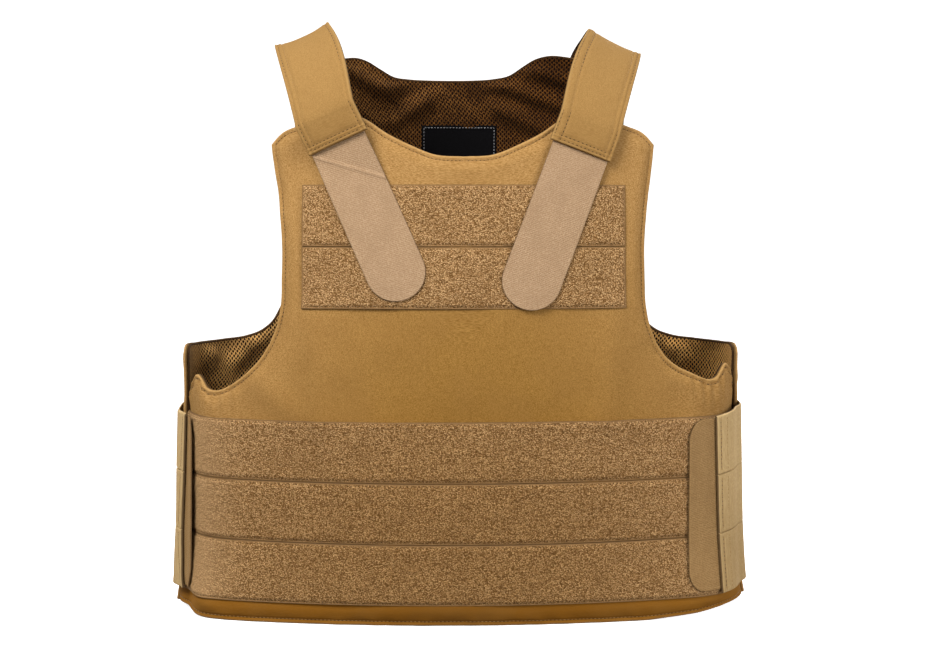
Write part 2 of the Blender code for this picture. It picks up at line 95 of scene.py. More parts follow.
frontPanel = {
    "facing": -1,
    # up, half width, depth, corner radius
    "sections": [
        (0.000, 0.2560, 0.0985, 0.0780),
        (0.015, 0.2545, 0.1000, 0.0775),
        (0.060, 0.2458, 0.1008, 0.0740),
        (0.130, 0.2445, 0.1020, 0.0740),
        (0.210, 0.2440, 0.1010, 0.0740),
        (0.300, 0.2360, 0.0960, 0.0700),
        (0.380, 0.2300, 0.0880, 0.0600),
        (0.450, 0.2250, 0.0790, 0.0450),
    ],
    # up, across
    "armhole": [
        (0.2420, 0.1700),
        (0.2560, 0.1640),
        (0.2740, 0.1600),
        (0.2960, 0.1590),
        (0.3360, 0.1592),
        (0.3640, 0.1620),
        (0.3840, 0.1650),
        (0.4140, 0.1692),
    ],
    # across, up
    "sideTop": [
        (0.1700, 0.2420),
        (0.1780, 0.2295),
        (0.1880, 0.2185),
        (0.2010, 0.2085),
        (0.2140, 0.2015),
        (0.2250, 0.1990),
        (0.2350, 0.2012),
        (0.2430, 0.2078),
        (0.2500, 0.2112),
        (0.2560, 0.2104),
        (0.2640, 0.2035),
        (0.2780, 0.1930),
        (0.2960, 0.1860),
    ],
    # across, up
    "topEdge": [
        (0.0000, 0.4030),
        (0.0260, 0.4050),
        (0.0460, 0.4130),
        (0.0660, 0.4230),
        (0.0860, 0.4360),
        (0.0970, 0.4400),
        (0.1120, 0.4375),
        (0.1280, 0.4350),
        (0.1450, 0.4300),
        (0.1600, 0.4235),
        (0.1692, 0.4140),
    ],
    # across and up of both ends, radius, lift
    "folds": [
        (-0.1300, 0.2640, -0.1240, 0.1800, 0.0150, 0.0034),
        (-0.1560, 0.3750, -0.1450, 0.3900, 0.0160, -0.0032),
        (0.1280, 0.2700, 0.1220, 0.1800, 0.0140, 0.0030),
        (0.1600, 0.2350, 0.1900, 0.1850, 0.0120, -0.0022),
        (-0.1850, 0.2150, -0.1500, 0.1850, 0.0130, 0.0024),
        (-0.2360, 0.0000, -0.2300, 0.0120, 0.0120, 0.0040),
        (-0.2640, 0.0000, -0.2600, 0.0120, 0.0120, -0.0030),
    ],
    "sideOverlap": 0.0050,
    "neckLean": 0.0,
    "neckDip": 0.0,
    "earRaise": 0.0088,
    # across, rise of the hem
    "hemRise": [
        (-0.3100, 0.0050),
        (-0.2600, 0.0035),
        (-0.2250, 0.0000),
        (0.1600, 0.0000),
        (0.2000, 0.0030),
        (0.2400, 0.0070),
        (0.3100, 0.0085),
    ],
    "earPuckers": 0.0013,
    "meanTop": 0.4200,
    "spacing": 0.0026,
    "grainSeed": 3,
}

backPanel = {
    "facing": 1,
    "sections": [
        (0.000, 0.2590, 0.0985, 0.0660),
        (0.015, 0.2565, 0.1000, 0.0705),
        (0.060, 0.2527, 0.1010, 0.0725),
        (0.130, 0.2505, 0.1020, 0.0740),
        (0.190, 0.2490, 0.1025, 0.0740),
        (0.250, 0.2492, 0.1025, 0.0740),
        (0.380, 0.2420, 0.0980, 0.0640),
        (0.460, 0.2350, 0.0890, 0.0500),
        (0.515, 0.2300, 0.0800, 0.0420),
    ],
    "armhole": [
        (0.2650, 0.1740),
        (0.2900, 0.1655),
        (0.3220, 0.1590),
        (0.3800, 0.1560),
        (0.4300, 0.1578),
        (0.4625, 0.1608),
    ],
    "sideTop": [
        (0.1740, 0.2650),
        (0.1800, 0.2540),
        (0.1900, 0.2447),
        (0.2050, 0.2387),
        (0.2300, 0.2360),
        (0.2700, 0.2350),
        (0.2960, 0.2345),
        (0.3030, 0.2320),
        (0.3085, 0.2265),
    ],
    "topEdge": [
        (0.0000, 0.4807),
        (0.0200, 0.4810),
        (0.0400, 0.4824),
        (0.0560, 0.4860),
        (0.0680, 0.4935),
        (0.0800, 0.5005),
        (0.0920, 0.5034),
        (0.1040, 0.5024),
        (0.1180, 0.4990),
        (0.1330, 0.4925),
        (0.1480, 0.4830),
        (0.1570, 0.4735),
        (0.1608, 0.4625),
    ],
    "folds": [
        (-0.0960, 0.4490, -0.0560, 0.4630, 0.0220, 0.0030),
        (-0.0850, 0.5020, -0.0800, 0.4870, 0.0200, -0.0030),
        (0.0540, 0.4730, 0.0960, 0.4630, 0.0220, 0.0030),
        (0.0850, 0.5020, 0.0780, 0.4870, 0.0200, -0.0030),
    ],
    "earPuckers": 0.0,
    "sideOverlap": 0.0120,
    "neckLean": -0.0075,
    "neckDip": 0.0032,
    "earRaise": 0.0,
    "hemRise": [(-0.3100, 0.0030), (-0.2400, 0.0000), (0.2400, 0.0000), (0.3100, 0.0070)],
    "meanTop": 0.4850,
    "spacing": 0.0028,
    "grainSeed": 8,
}


def smoothStep(x):
    # 3x² - 2x³, with x held between nought and one
    x = np.clip(x, 0, 1)
    return x * x * (3 - 2 * x)


def easeFrom(x, pair):
    # nought up to the pair's start, and one from its length on
    return smoothStep((x - pair[0]) / pair[1])


def hump(x, middle, width):
    # exp(-((x - middle) / width)²)
    return np.exp(-(((x - middle) / width) ** 2))


def unit(vectors):
    # each vector over its own length
    return vectors / np.linalg.norm(vectors, axis=-1, keepdims=True)


def readCurve(table, at, column=1):
    # a cubic between neighbouring rows, whose slopes are those of the rows around them
    rows = np.asarray(table, float)
    points, values = rows[:, 0], rows[:, column]
    slopes = np.gradient(values, points)
    at = np.clip(at, points[0], points[-1])
    k = np.clip(np.searchsorted(points, at, side="right") - 1, 0, len(points) - 2)
    span = points[k + 1] - points[k]
    t = (at - points[k]) / span
    return (
        (1 + 2 * t) * (1 - t) ** 2 * values[k]
        + t * (1 - t) ** 2 * span * slopes[k]
        + t * t * (3 - 2 * t) * values[k + 1]
        + t * t * (t - 1) * span * slopes[k + 1]
    )


def grain(x, y, size, seed):
    # smooth noise from -1 to 1: random heights on a square lattice of that size, eased between them
    heights = np.random.default_rng(seed).uniform(-1, 1, (64, 64))
    x, y = np.broadcast_arrays(np.asarray(x) / size, np.asarray(y) / size)
    column, row = np.floor(x).astype(int), np.floor(y).astype(int)
    s, t = smoothStep(x - column), smoothStep(y - row)
    near, far = column % 64, (column + 1) % 64
    low, high = row % 64, (row + 1) % 64
    return (
        heights[near, low] * (1 - s) * (1 - t)
        + heights[far, low] * s * (1 - t)
        + heights[near, high] * (1 - s) * t
        + heights[far, high] * s * t
    )


def sectionAt(panel, up):
    # half width, depth and corner radius, each read from the table of sections
    return [readCurve(panel["sections"], up, column) for column in (1, 2, 3)]


def arcsAt(panel, up):
    # the wide arc's radius and turn, and both arcs' lengths, for arcs that meet in one tangent
    halfWidth, depth, corner = sectionAt(panel, up)
    turn = 2 * np.arctan2(depth - corner, halfWidth - corner)
    radius = corner + (halfWidth - corner) / np.sin(turn)
    return radius, turn, radius * turn, corner * (np.pi / 2 - turn)


def halfGirth(panel, up):
    # both arcs' lengths together
    return sum(arcsAt(panel, up)[2:])


def foldLift(folds, across, up):
    # the sum over all folds of lift times exp(-(distance to the fold's line / radius)²)
    total = np.zeros(np.broadcast(across, up).shape)
    for acrossA, upA, acrossB, upB, radius, lift in folds:
        run, rise = acrossB - acrossA, upB - upA
        share = ((across - acrossA) * run + (up - upA) * rise) / (run**2 + rise**2)
        share = np.clip(share, 0, 1)
        away = np.hypot(across - acrossA - share * run, up - upA - share * rise)
        total = total + lift * hump(away, 0, radius)
    return total


def heightAt(panel, across, up):
    # up, raised a little over the hem, at the hem by its own rise and at the left ear, less the dip
    # beside the neck
    low = 1 - smoothStep(up / stance["hemHeight"])
    ear = panel["earRaise"] * easeFrom(across, stance["earAcross"]) * easeFrom(up, stance["earUp"])
    dip = panel["neckDip"] * hump(across, *stance["dipAcross"]) * easeFrom(up, stance["dipUp"])
    rise = np.maximum(readCurve(panel["hemRise"], across), 0)
    return up + stance["bodyRaise"] * (1 - low) + rise * low + ear - dip


def wrap(panel, across, up, lift):
    # along the wide arc, then the tight one, then straight on, and lift out along the normal.
    # The neck's lean moves the middle of the top edge sideways
    across, up, lift = np.broadcast_arrays(across, up, lift)
    atNeck = easeFrom(up, stance["leanUp"]) * (1 - easeFrom(np.abs(across), stance["leanAcross"]))
    across = across + panel["neckLean"] * atNeck
    halfWidth, depth, corner = sectionAt(panel, up)
    radius, turn, wide, tight = arcsAt(panel, up)
    run = np.abs(across)
    onWide, onTight = run <= wide, run <= wide + tight
    angle = np.where(onWide, run / radius, np.minimum(turn + (run - wide) / corner, np.pi / 2))
    x = np.where(
        onWide,
        radius * np.sin(angle),
        radius * np.sin(turn) + corner * (np.sin(angle) - np.sin(turn)),
    )
    y = np.where(
        onWide,
        radius * (1 - np.cos(angle)),
        radius * (1 - np.cos(turn)) + corner * (np.cos(turn) - np.cos(angle)),
    )
    y = y + np.where(onTight, 0, run - wide - tight)
    lift = lift + foldLift(panel["folds"], across, up)
    x = x + lift * np.sin(angle)
    y = y - lift * np.cos(angle)
    side = np.where(across < 0, -1, 1)
    height = heightAt(panel, across, up)
    return np.stack([side * x, panel["facing"] * (depth - y) + middleShift, height], -1)


def sideEnd(panel):
    # distance round the body from the panel's centre line to its side edge
    return float(halfGirth(panel, 0.12)) + panel["sideOverlap"]


def paddingAt(panel, across):
    # the rim's thickness on the side flap, easing to the full one over the ramp
    share = smoothStep((sideEnd(panel) - np.abs(across) - layers["sideFlap"]) / layers["sideFlapRamp"])
    return layers["rim"] + (layers["panel"] - layers["rim"]) * share


def wrapOutside(panel, across, up, lift):
    # wrap, with the lift counted from the panel's outer face
    return wrap(panel, across, up, paddingAt(panel, across) + lift)


seamOffsets = np.array([0, 0.0003, 0.0008, 0.0016, 0.0028, 0.0038, 0.0045, 0.0051, 0.0057, 0.0064, 0.0076])
tapeOffsets = np.array([0, 0.0002, 0.0005, 0.0010, 0.0017, 0.0026])
creaseAngle = radians(60)  # edges sharper than this are shaded sharp


def stepsAlong(length, spacing, lowEdge=seamOffsets, highEdge=seamOffsets):
    # even steps from nought to the length, with the given close ones at either end
    low = np.zeros(1) if lowEdge is None else lowEdge
    high = np.full(1, length) if highEdge is None else length - highEdge[::-1]
    count = max(ceil((high[0] - low[-1]) / spacing), 1)
    return np.concatenate([low, np.linspace(low[-1], high[0], count + 1)[1:-1], high])


def outlineOf(panel, inset=0.0, step=0.002):
    # half of a panel's outline: out along the hem, up the side, in along the ear, up the armhole
    # and in along the top edge
    end = sideEnd(panel) - inset
    join, last = panel["sideTop"][0][0], panel["armhole"][-1]
    hem = np.linspace(0, end, ceil(end / step))
    hemLine = np.stack([hem, np.full_like(hem, inset)], -1)
    earEnd = readCurve(panel["sideTop"], end) - inset
    side = np.linspace(inset, earEnd, 80)
    sideLine = np.stack([np.full_like(side, end), side], -1)
    ear = np.linspace(end, join - inset, 90)
    earLine = np.stack([ear, readCurve(panel["sideTop"], ear) - inset], -1)
    rise = np.linspace(panel["armhole"][0][0] - inset, last[0] - inset, 90)
    armholeLine = np.stack([readCurve(panel["armhole"], rise) - inset, rise], -1)
    top = np.linspace(last[1] - inset, 0, 110)
    topLine = np.stack([top, readCurve(panel["topEdge"], top) - inset], -1)
    return np.concatenate([hemLine, sideLine[1:], earLine[1:], armholeLine[1:], topLine[1:]])


def distanceTo(line, across, up):
    # the least distance from each point to any stretch of the line, mirrored about the centre line
    across = np.abs(across)
    least = np.full(np.broadcast(across, up).shape, np.inf)
    for (startX, startY), (endX, endY) in zip(line[:-1], line[1:]):
        run, rise = endX - startX, endY - startY
        share = ((across - startX) * run + (up - startY) * rise) / (run**2 + rise**2 + 1e-18)
        share = np.clip(share, 0, 1)
        away = (across - startX - share * run) ** 2 + (up - startY - share * rise) ** 2
        least = np.minimum(least, away)
    return np.sqrt(least)


def panelGrid(panel, spacing, inset=0.0):
    # a plain grid of across and up, whose last rows and columns are eased out to the outline, so
    # that the close steps of the sewn edge keep their distance from it
    joinUp, joinAcross = panel["armhole"][0]
    cornerUp, cornerAcross = panel["armhole"][-1]
    joinAcross -= inset
    end = sideEnd(panel) - inset
    half = stepsAlong(joinAcross, spacing, None)
    side = joinAcross + stepsAlong(end - joinAcross, spacing, None)[1:]
    columns = np.concatenate([-side[::-1], -half[:0:-1], half, side])
    below = inset + stepsAlong(joinUp - 2 * inset, spacing)
    above = joinUp - inset + stepsAlong(panel["meanTop"] - joinUp, spacing, None)[1:]
    rows = np.concatenate([below, above])
    across, up = np.meshgrid(columns, rows)
    run, onSide = np.abs(across), np.abs(across) > joinAcross + 1e-9
    isChest = up > joinUp - inset + 1e-9
    earTop = readCurve(panel["sideTop"], run + inset * (run < joinAcross + 0.001)) - inset
    lower = up - np.where(onSide, joinUp - inset - earTop, 0) * smoothStep(up / (joinUp - inset))
    meanTop = panel["meanTop"] - inset
    rise = smoothStep((up - joinUp + inset) / (meanTop - joinUp + inset))
    edgeUp = up + (cornerUp - inset - meanTop) * rise
    pull = smoothStep(run / joinAcross)
    widthHere = readCurve(panel["armhole"], edgeUp + inset) - inset
    spread = run + (widthHere - joinAcross) * pull
    topAcross = run + (cornerAcross - inset - joinAcross) * pull
    top = readCurve(panel["topEdge"], topAcross + inset * pull) - inset
    upper = up + (top - meanTop) * rise
    side = np.where(across < 0, -1, 1)
    patternAcross = np.where(isChest, side * spread, across)
    patternUp = np.where(isChest, upper, lower)
    inMiddle = np.abs(0.5 * (columns[1:] + columns[:-1])) < joinAcross
    isLow = 0.5 * (rows[1:] + rows[:-1]) < joinUp - inset
    cells = isLow[:, None] | inMiddle[None, :]
    return patternAcross, patternUp, cells


def makeMesh(name, points, faces, finish, cloth=None):
    # a mesh from whole arrays, turned right side out: faces are reversed if its volume is negative
    first, second, third, fourth = (points[faces[:, k]] for k in range(4))
    volume = np.einsum("ij,ij->", first, np.cross(second, third))
    volume += np.einsum("ij,ij->", first, np.cross(third, fourth))
    if volume < 0:
        faces = faces[:, ::-1]
    mesh = bpy.data.meshes.new(name)
    mesh.from_pydata(points.tolist(), [], faces.tolist())
    if cloth is not None:
        pattern = mesh.attributes.new("cloth", "FLOAT_VECTOR", "POINT")
        pattern.data.foreach_set("vector", cloth.astype(np.float32).ravel())
    mesh.shade_smooth()
    if cloth is not None:
        mesh.set_sharp_from_angle(angle=creaseAngle)
    mesh.materials.append(finish)
    piece = bpy.data.objects.new(name, mesh)
    bpy.context.scene.collection.objects.link(piece)
    return piece


def closedSheet(name, outer, inner, cloth, finish, cells=None, underside=None, wall=0):
    # the outer grid, the inner grid turned round, and a wall wherever a cell has no neighbour. The
    # inner grid has the underside's finish, and so have the walls where wall is one
    rows, columns = outer.shape[:2]
    if cells is None:
        cells = np.ones((rows - 1, columns - 1), bool)
    number = np.arange(rows * columns).reshape(rows, columns)
    corners = np.stack([number[:-1, :-1], number[:-1, 1:], number[1:, 1:], number[1:, :-1]], -1)
    total = rows * columns
    faces = [corners[cells], corners[cells][:, ::-1] + total]
    padded = np.pad(cells, 1)
    for rowShift, columnShift, a, b in ((-1, 0, 0, 1), (0, 1, 1, 2), (1, 0, 2, 3), (0, -1, 3, 0)):
        neighbour = padded[1 + rowShift :, 1 + columnShift :][: rows - 1, : columns - 1]
        edge = corners[cells & ~neighbour][:, [a, b]]
        faces.append(np.stack([edge[:, 1], edge[:, 0], edge[:, 0] + total, edge[:, 1] + total], -1))
    isInner = np.repeat([0, 1] + [wall] * 4, [len(part) for part in faces])
    faces = np.concatenate(faces)
    used, faces = np.unique(faces, return_inverse=True)
    faces = faces.reshape(-1, 4)
    points = np.concatenate([outer.reshape(-1, 3), inner.reshape(-1, 3)])[used]
    cloth = np.concatenate([cloth.reshape(-1, 3)] * 2)[used]
    piece = makeMesh(name + "_cloth", points, faces, finish, cloth)
    if underside:
        piece.data.materials.append(underside)
        piece.data.polygons.foreach_set("material_index", isInner)
    return piece


def settle(piece, node=None):
    # the piece rides on the vest's one body and stands for its solid
    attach(piece, "root")
    if node:
        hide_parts(node)
    return piece


def roundEdge(away, radius, least=0.0):
    # a quarter circle: from least at the edge to one a radius in
    share = np.clip(away / radius, 0, 1)
    return least + (1 - least) * np.sqrt(1 - (1 - share) ** 2)


def stripGrid(half, bottom, height, spacing):
    # a strip's grid of across and up, with close steps at every edge
    columns = stepsAlong(2 * half, spacing, tapeOffsets, tapeOffsets) - half
    rows = bottom + stepsAlong(height, spacing, tapeOffsets, tapeOffsets)
    return np.meshgrid(columns, rows)


def edgeDistance(across, up, halfLength, bottom, top):
    # the least distance to any of a strip's four edges
    return np.minimum(halfLength - np.abs(across), np.minimum(up - bottom, top - up))


def frameLine(half, bottom, top, endIn, edgeIn):
    # a strip's outline, moved in from its ends and its long edges
    x, low, high = half - endIn, bottom + edgeIn, top - edgeIn
    return [(-x, low), (x, low), (x, high), (-x, high), (-x, low)]


def addNode(tree, kind, inputs=None, **settings):
    # one shader node, each input either linked to a socket or set to a value
    made = tree.nodes.new(kind)
    for key, value in settings.items():
        setattr(made, key, value)
    for key, value in (inputs or {}).items():
        if isinstance(value, bpy.types.NodeSocket):
            tree.links.new(value, made.inputs[key])
        else:
            made.inputs[key].default_value = value
    return made


def mathNode(tree, operation, first, second=0.0, third=0.0, clamp=False):
    # first, second and third put through one sum
    inputs = {0: first, 1: second, 2: third}
    return addNode(tree, "ShaderNodeMath", inputs, operation=operation, use_clamp=clamp).outputs[0]


def mixColours(tree, share, first, second, how="MIX"):
    # first where share is nought and second where it is one
    made = addNode(tree, "ShaderNodeMix", {0: share, 6: first, 7: second}, data_type="RGBA", blend_type=how)
    return made.outputs[2]


def between(tree, value, low, high, toLow=0.0, toHigh=1.0):
    # value's place between low and high, eased, as a place between toLow and toHigh
    inputs = {0: value, 1: low, 2: high, 3: toLow, 4: toHigh}
    return addNode(tree, "ShaderNodeMapRange", inputs, interpolation_type="SMOOTHSTEP").outputs[0]


def clothPlace(tree):
    # the piece's own flat pattern, and the values that tints read off it: across, up and away, which
    # is the distance in from the edge, and |across| as side
    place = addNode(tree, "ShaderNodeAttribute", attribute_name="cloth").outputs["Vector"]
    parts = addNode(tree, "ShaderNodeSeparateXYZ", {0: place})
    values = dict(zip(("across", "up", "away"), parts.outputs))
    values["side"] = mathNode(tree, "ABSOLUTE", values["across"])
    return place, values


def layTints(tree, tone, look, values):
    # each row of tints mixes in a colour by a value's place between its low and high. The distance from
    # the look's own place on the vest is painted shade: its colour multiplies, darkening the cloth round
    # that place
    if "wornAt" in look:
        place = addNode(tree, "ShaderNodeTexCoord").outputs["Object"]
        inputs = {0: place, 1: look["wornAt"]}
        away = addNode(tree, "ShaderNodeVectorMath", inputs, operation="DISTANCE")
        values["worn"] = away.outputs["Value"]
    for value, low, high, atLow, atHigh, colour in look["tints"]:
        share = between(tree, values[value], low, high, atLow, atHigh)
        how = "MULTIPLY" if value == "worn" else "MIX"
        tone = mixColours(tree, share, tone, look[colour], how)
    return tone


def turned(tree, place, degrees):
    # the place turned in the cloth's plane
    inputs = {"Vector": place, "Rotation": (0, 0, radians(degrees))}
    return addNode(tree, "ShaderNodeMapping", inputs).outputs[0]


def speckle(tree, place, size, detail=2.0, stretch=(1, 1, 1), roughness=0.5):
    # noise whose lumps are about that size, drawn out by stretch
    scaled = addNode(tree, "ShaderNodeMapping", {"Vector": place, "Scale": stretch}).outputs[0]
    inputs = {"Vector": scaled, "Scale": 1 / size, "Detail": detail, "Roughness": roughness}
    return addNode(tree, "ShaderNodeTexNoise", inputs, noise_dimensions="3D").outputs["Fac"]


def ribs(tree, place, direction, pitch, wander=0.0, wanderSize=0.004):
    # a sine across the cloth, one ridge every pitch, with some wander in its line
    inputs = {
        "Vector": place,
        "Scale": np.pi / 10 / pitch,
        "Distortion": wander,
        "Detail": 1.0,
        "Detail Scale": pitch / wanderSize,
    }
    return addNode(
        tree, "ShaderNodeTexWave", inputs, bands_direction=direction, wave_profile="SIN"
    ).outputs["Fac"]


def newFinish(name, roughness, sheen, specular=0.15, tint=(0.80, 0.50, 0.22, 1)):
    # a Principled finish with its even values on the shader's own sockets
    material = bpy.data.materials.new(name)
    material.use_nodes = True
    shader = material.node_tree.nodes["Principled BSDF"]
    shader.inputs["Roughness"].default_value = roughness
    shader.inputs["Specular IOR Level"].default_value = specular
    shader.inputs["Sheen Weight"].default_value = sheen
    shader.inputs["Sheen Roughness"].default_value = 0.5
    shader.inputs["Sheen Tint"].default_value = tint
    return material, material.node_tree, shader


def dress(tree, shader, tone, height, depth, strength):
    # the tone as the base colour, and the height as a bump that many metres deep
    tree.links.new(tone, shader.inputs["Base Color"])
    bump = addNode(tree, "ShaderNodeBump", {"Height": height, "Distance": depth, "Strength": strength})
    tree.links.new(bump.outputs[0], shader.inputs["Normal"])


# painted shade: a near-black line along the very edge of the cloth, tapes and tabs, for the dark line where
# an edge stands off what lies under it
edgeShade = (0.050, 0.026, 0.009, 1)
nylonLook = {
    "dark": (0.240, 0.123, 0.033, 1),
    "light": (0.436, 0.254, 0.094, 1),
    "edge": (0.515, 0.312, 0.120, 1),
    "deep": (0.222, 0.083, 0.0026, 1),
    "worn": (0.74, 0.68, 0.42, 1),
    "cut": edgeShade,
    "wornAt": (0.010, 0.0, 0.165),
    # value, its low and high, the colour's share at each, colour
    "tints": [
        # painted shade: a deeper, darker colour towards the hem
        ("up", 0.0120, 0.2200, 0.92, 0.0, "deep"),
        # painted shade: darker round one place low in the vest's middle
        ("worn", 0.1000, 0.2600, 1.00, 0.0, "worn"),
        ("wash", 0.3200, 0.6200, 0.26, 0.0, "dark"),
        ("weave", 0.0000, 0.2500, 0.16, 0.0, "dark"),
        ("away", 0.0008, 0.0026, 0.30, 0.0, "edge"),
        # painted shade along the very edge
        ("away", 0.0000, 0.0003, 0.85, 0.0, "cut"),
    ],
    "contrast": 1.0,
    "threadPitch": 0.00085,
    "slubSize": 0.0008,
    "slubStretch": ((0.22, 1.30, 1), (1.30, 0.30, 1)),
    "washSize": 0.0550,
}


def makeNylon(name, look):
    # a plain weave: drawn-out slubs both ways over fine ribs, broad washes of tone, and painted shade:
    # a deeper, darker colour towards the hem, and a darker colour round one place low in the vest's middle
    material, tree, shader = newFinish(name, 0.88, 0.08, 0.05, (0.80, 0.50, 0.15, 1))
    place, values = clothPlace(tree)
    warp = ribs(tree, place, "X", look["threadPitch"], 1.2)
    weft = ribs(tree, place, "Y", look["threadPitch"] * 0.9, 1.2)
    values["weave"] = mathNode(tree, "MULTIPLY", warp, weft)
    slubs = [speckle(tree, place, look["slubSize"], 1.0, stretch) for stretch in look["slubStretch"]]
    threads = mathNode(tree, "MULTIPLY_ADD", slubs[0], 0.70, mathNode(tree, "MULTIPLY", slubs[1], 0.30))
    values["wash"] = speckle(tree, place, look["washSize"], 3.0)
    spread = 0.5 * look["contrast"]
    share = between(tree, threads, 0.33, 0.67, 0.5 - spread, 0.5 + spread)
    tone = layTints(tree, mixColours(tree, share, look["dark"], look["light"]), look, values)
    height = mathNode(tree, "MULTIPLY_ADD", values["weave"], 0.5, threads)
    dress(tree, shader, tone, height, 0.0002, 0.5 * look["contrast"] + 0.2)
    return material


loopLook = {
    "colour": (0.392, 0.218, 0.087, 1),
    "dark": (0.140, 0.065, 0.018, 1),
    "light": (0.690, 0.435, 0.205, 1),
    "flat": (0.450, 0.272, 0.125, 1),
    "selvage": (0.235, 0.130, 0.052, 1),
    "worn": (0.80, 0.76, 0.66, 1),
    "cut": edgeShade,
    "wornAt": (-0.015, -0.020, 0.030),
    "tints": [
        ("hollow", 0.2200, 0.7200, 0.00, 1.00, "dark"),
        ("patch", 0.3500, 0.7500, 0.00, 0.20, "dark"),
        # painted shade: darker round one place low in the belly's middle
        ("worn", 0.1000, 0.2800, 1.00, 0.00, "worn"),
        # painted sheen: lighter towards the body's sides, where the pile is seen edge on
        ("side", 0.1850, 0.2450, 0.00, 0.65, "flat"),
        # painted shade: the selvage darker than the pile, along the rows' joins
        ("away", 0.0009, 0.0018, 1.00, 0.00, "selvage"),
        # painted shade along the very edge, at the joins between the rows
        ("away", 0.0002, 0.0007, 0.75, 0.00, "cut"),
    ],
    "tuft": 0.0012,
    "patchSize": 0.0300,
}


def makeLoopPile(look):
    # pile of round tufts, light in the middle, dark between, each with its own tone, with painted sheen
    # lighter towards the body's sides and painted shade low in the belly's middle, in a narrow selvage
    # whose darker colour is painted shade at the rows' joins
    material, tree, shader = newFinish("loop pile", 0.95, 0.30, 0.10)
    place, values = clothPlace(tree)
    inputs = {"Vector": place, "Scale": 1 / look["tuft"]}
    tufts = addNode(tree, "ShaderNodeTexVoronoi", inputs)
    own = addNode(tree, "ShaderNodeSeparateColor", {0: tufts.outputs["Color"]}).outputs[0]
    values["hollow"] = tufts.outputs["Distance"]
    values["patch"] = speckle(tree, place, look["patchSize"], 2.0)
    tone = mixColours(tree, between(tree, own, 0.10, 0.95), look["colour"], look["light"])
    tone = layTints(tree, tone, look, values)
    piled = between(tree, values["away"], 0.0009, 0.0018)
    height = mathNode(tree, "MULTIPLY", mathNode(tree, "SUBTRACT", own, values["hollow"]), piled)
    dress(tree, shader, tone, height, 0.0009, 0.8)
    return material


hookLook = {
    "colour": (0.350, 0.224, 0.124, 1),
    "dark": (0.245, 0.149, 0.078, 1),
    "light": (0.450, 0.306, 0.184, 1),
    "cut": edgeShade,
    "tints": [
        ("speck", 0.4400, 0.6400, 0.00, 0.60, "light"),
        ("patch", 0.4000, 0.7000, 0.00, 0.25, "dark"),
        # painted shade along the very edge
        ("away", 0.0001, 0.0006, 0.55, 0.00, "cut"),
    ],
    "ribPitch": 0.0017,
    "slant": 48.0,
    "wander": 2.6,
}


def makeHookBack(name, look):
    # the woven back of hook tape: fine slanting ribs, broken up by speckle
    material, tree, shader = newFinish(name, 0.80, 0.12)
    place, values = clothPlace(tree)
    slanted = turned(tree, place, look["slant"])
    ridge = ribs(tree, slanted, "X", look["ribPitch"], look["wander"], 0.005)
    values["speck"] = speckle(tree, place, 0.0015, 3.0)
    values["patch"] = speckle(tree, place, 0.020, 2.0)
    tone = mixColours(tree, between(tree, ridge, 0.0, 0.9, 0.3, 1.0), look["dark"], look["colour"])
    tone = layTints(tree, tone, look, values)
    height = mathNode(tree, "MULTIPLY_ADD", ridge, 0.5, mathNode(tree, "MULTIPLY", values["speck"], 0.8))
    dress(tree, shader, tone, height, 0.0003, 0.8)
    return material


elasticLook = {
    "colour": (0.465, 0.320, 0.147, 1),
    "dark": (0.385, 0.255, 0.108, 1),
    "light": (0.520, 0.370, 0.178, 1),
    "worn": (0.78, 0.75, 0.70, 1),
    "cut": edgeShade,
    "wornAt": (0.260, -0.050, -0.060),
    "tints": [
        ("ridge", 0.0000, 0.5000, 0.18, 0.00, "dark"),
        ("slub", 0.4200, 0.6600, 0.00, 0.70, "light"),
        # painted shade: darker towards the bottom of the bands at +X
        ("worn", 0.1000, 0.2000, 1.00, 0.00, "worn"),
        # painted shade along the band's front end
        ("across", 0.0001, 0.0007, 0.90, 0.00, "cut"),
    ],
    "ribPitch": 0.0021,
    "loopPitch": 0.0013,
}


def makeElastic(look):
    # knitted elastic: fine upright loops, with faint flat ribs along the band, painted shade towards the
    # bottom at +X and a line of painted shade along the band's front end
    material, tree, shader = newFinish("elastic webbing", 0.75, 0.15)
    place, values = clothPlace(tree)
    values["ridge"] = ribs(tree, place, "Y", look["ribPitch"], 0.5, 0.010)
    knit = ribs(tree, place, "X", look["loopPitch"], 1.5, 0.004)
    values["slub"] = speckle(tree, place, 0.0022, 3.0, (1.2, 0.30, 1))
    tone = mixColours(tree, between(tree, knit, 0.0, 0.8), look["dark"], look["colour"])
    tone = layTints(tree, tone, look, values)
    height = mathNode(tree, "MULTIPLY_ADD", values["ridge"], 0.25, mathNode(tree, "MULTIPLY", knit, 0.5))
    dress(tree, shader, tone, height, 0.0002, 0.6)
    return material


meshLook = {
    "rib": (0.350, 0.156, 0.040, 1),
    "shade": (0.045, 0.016, 0.004, 1),
    "hole": (0.003, 0.001, 0.001, 1),
    "side": (1.000, 0.560, 0.180, 1),
    "binding": (0.040, 0.019, 0.007, 1),
    "worn": (0.50, 0.42, 0.29, 1),
    "wornAt": (0.215, 0.080, 0.470),
    "tints": [
        # painted light: lighter towards the armholes, more at +X than at -X
        ("across", 0.1350, 0.1800, 0.00, 0.95, "side"),
        ("across", -0.1800, -0.1350, 0.55, 0.00, "side"),
        ("wash", 0.4000, 0.6500, 0.00, 0.45, "shade"),
        # painted shade: darker round one place high on the back lining at +X
        ("worn", 0.1000, 0.3600, 1.00, 0.00, "worn"),
        ("ragged", 0.6200, 0.9800, 0.00, 1.00, "hole"),
        ("away", 0.0014, 0.0020, 1.00, 0.00, "binding"),
    ],
    "acrossPitch": 0.0040,
    "upPitch": 0.0043,
}


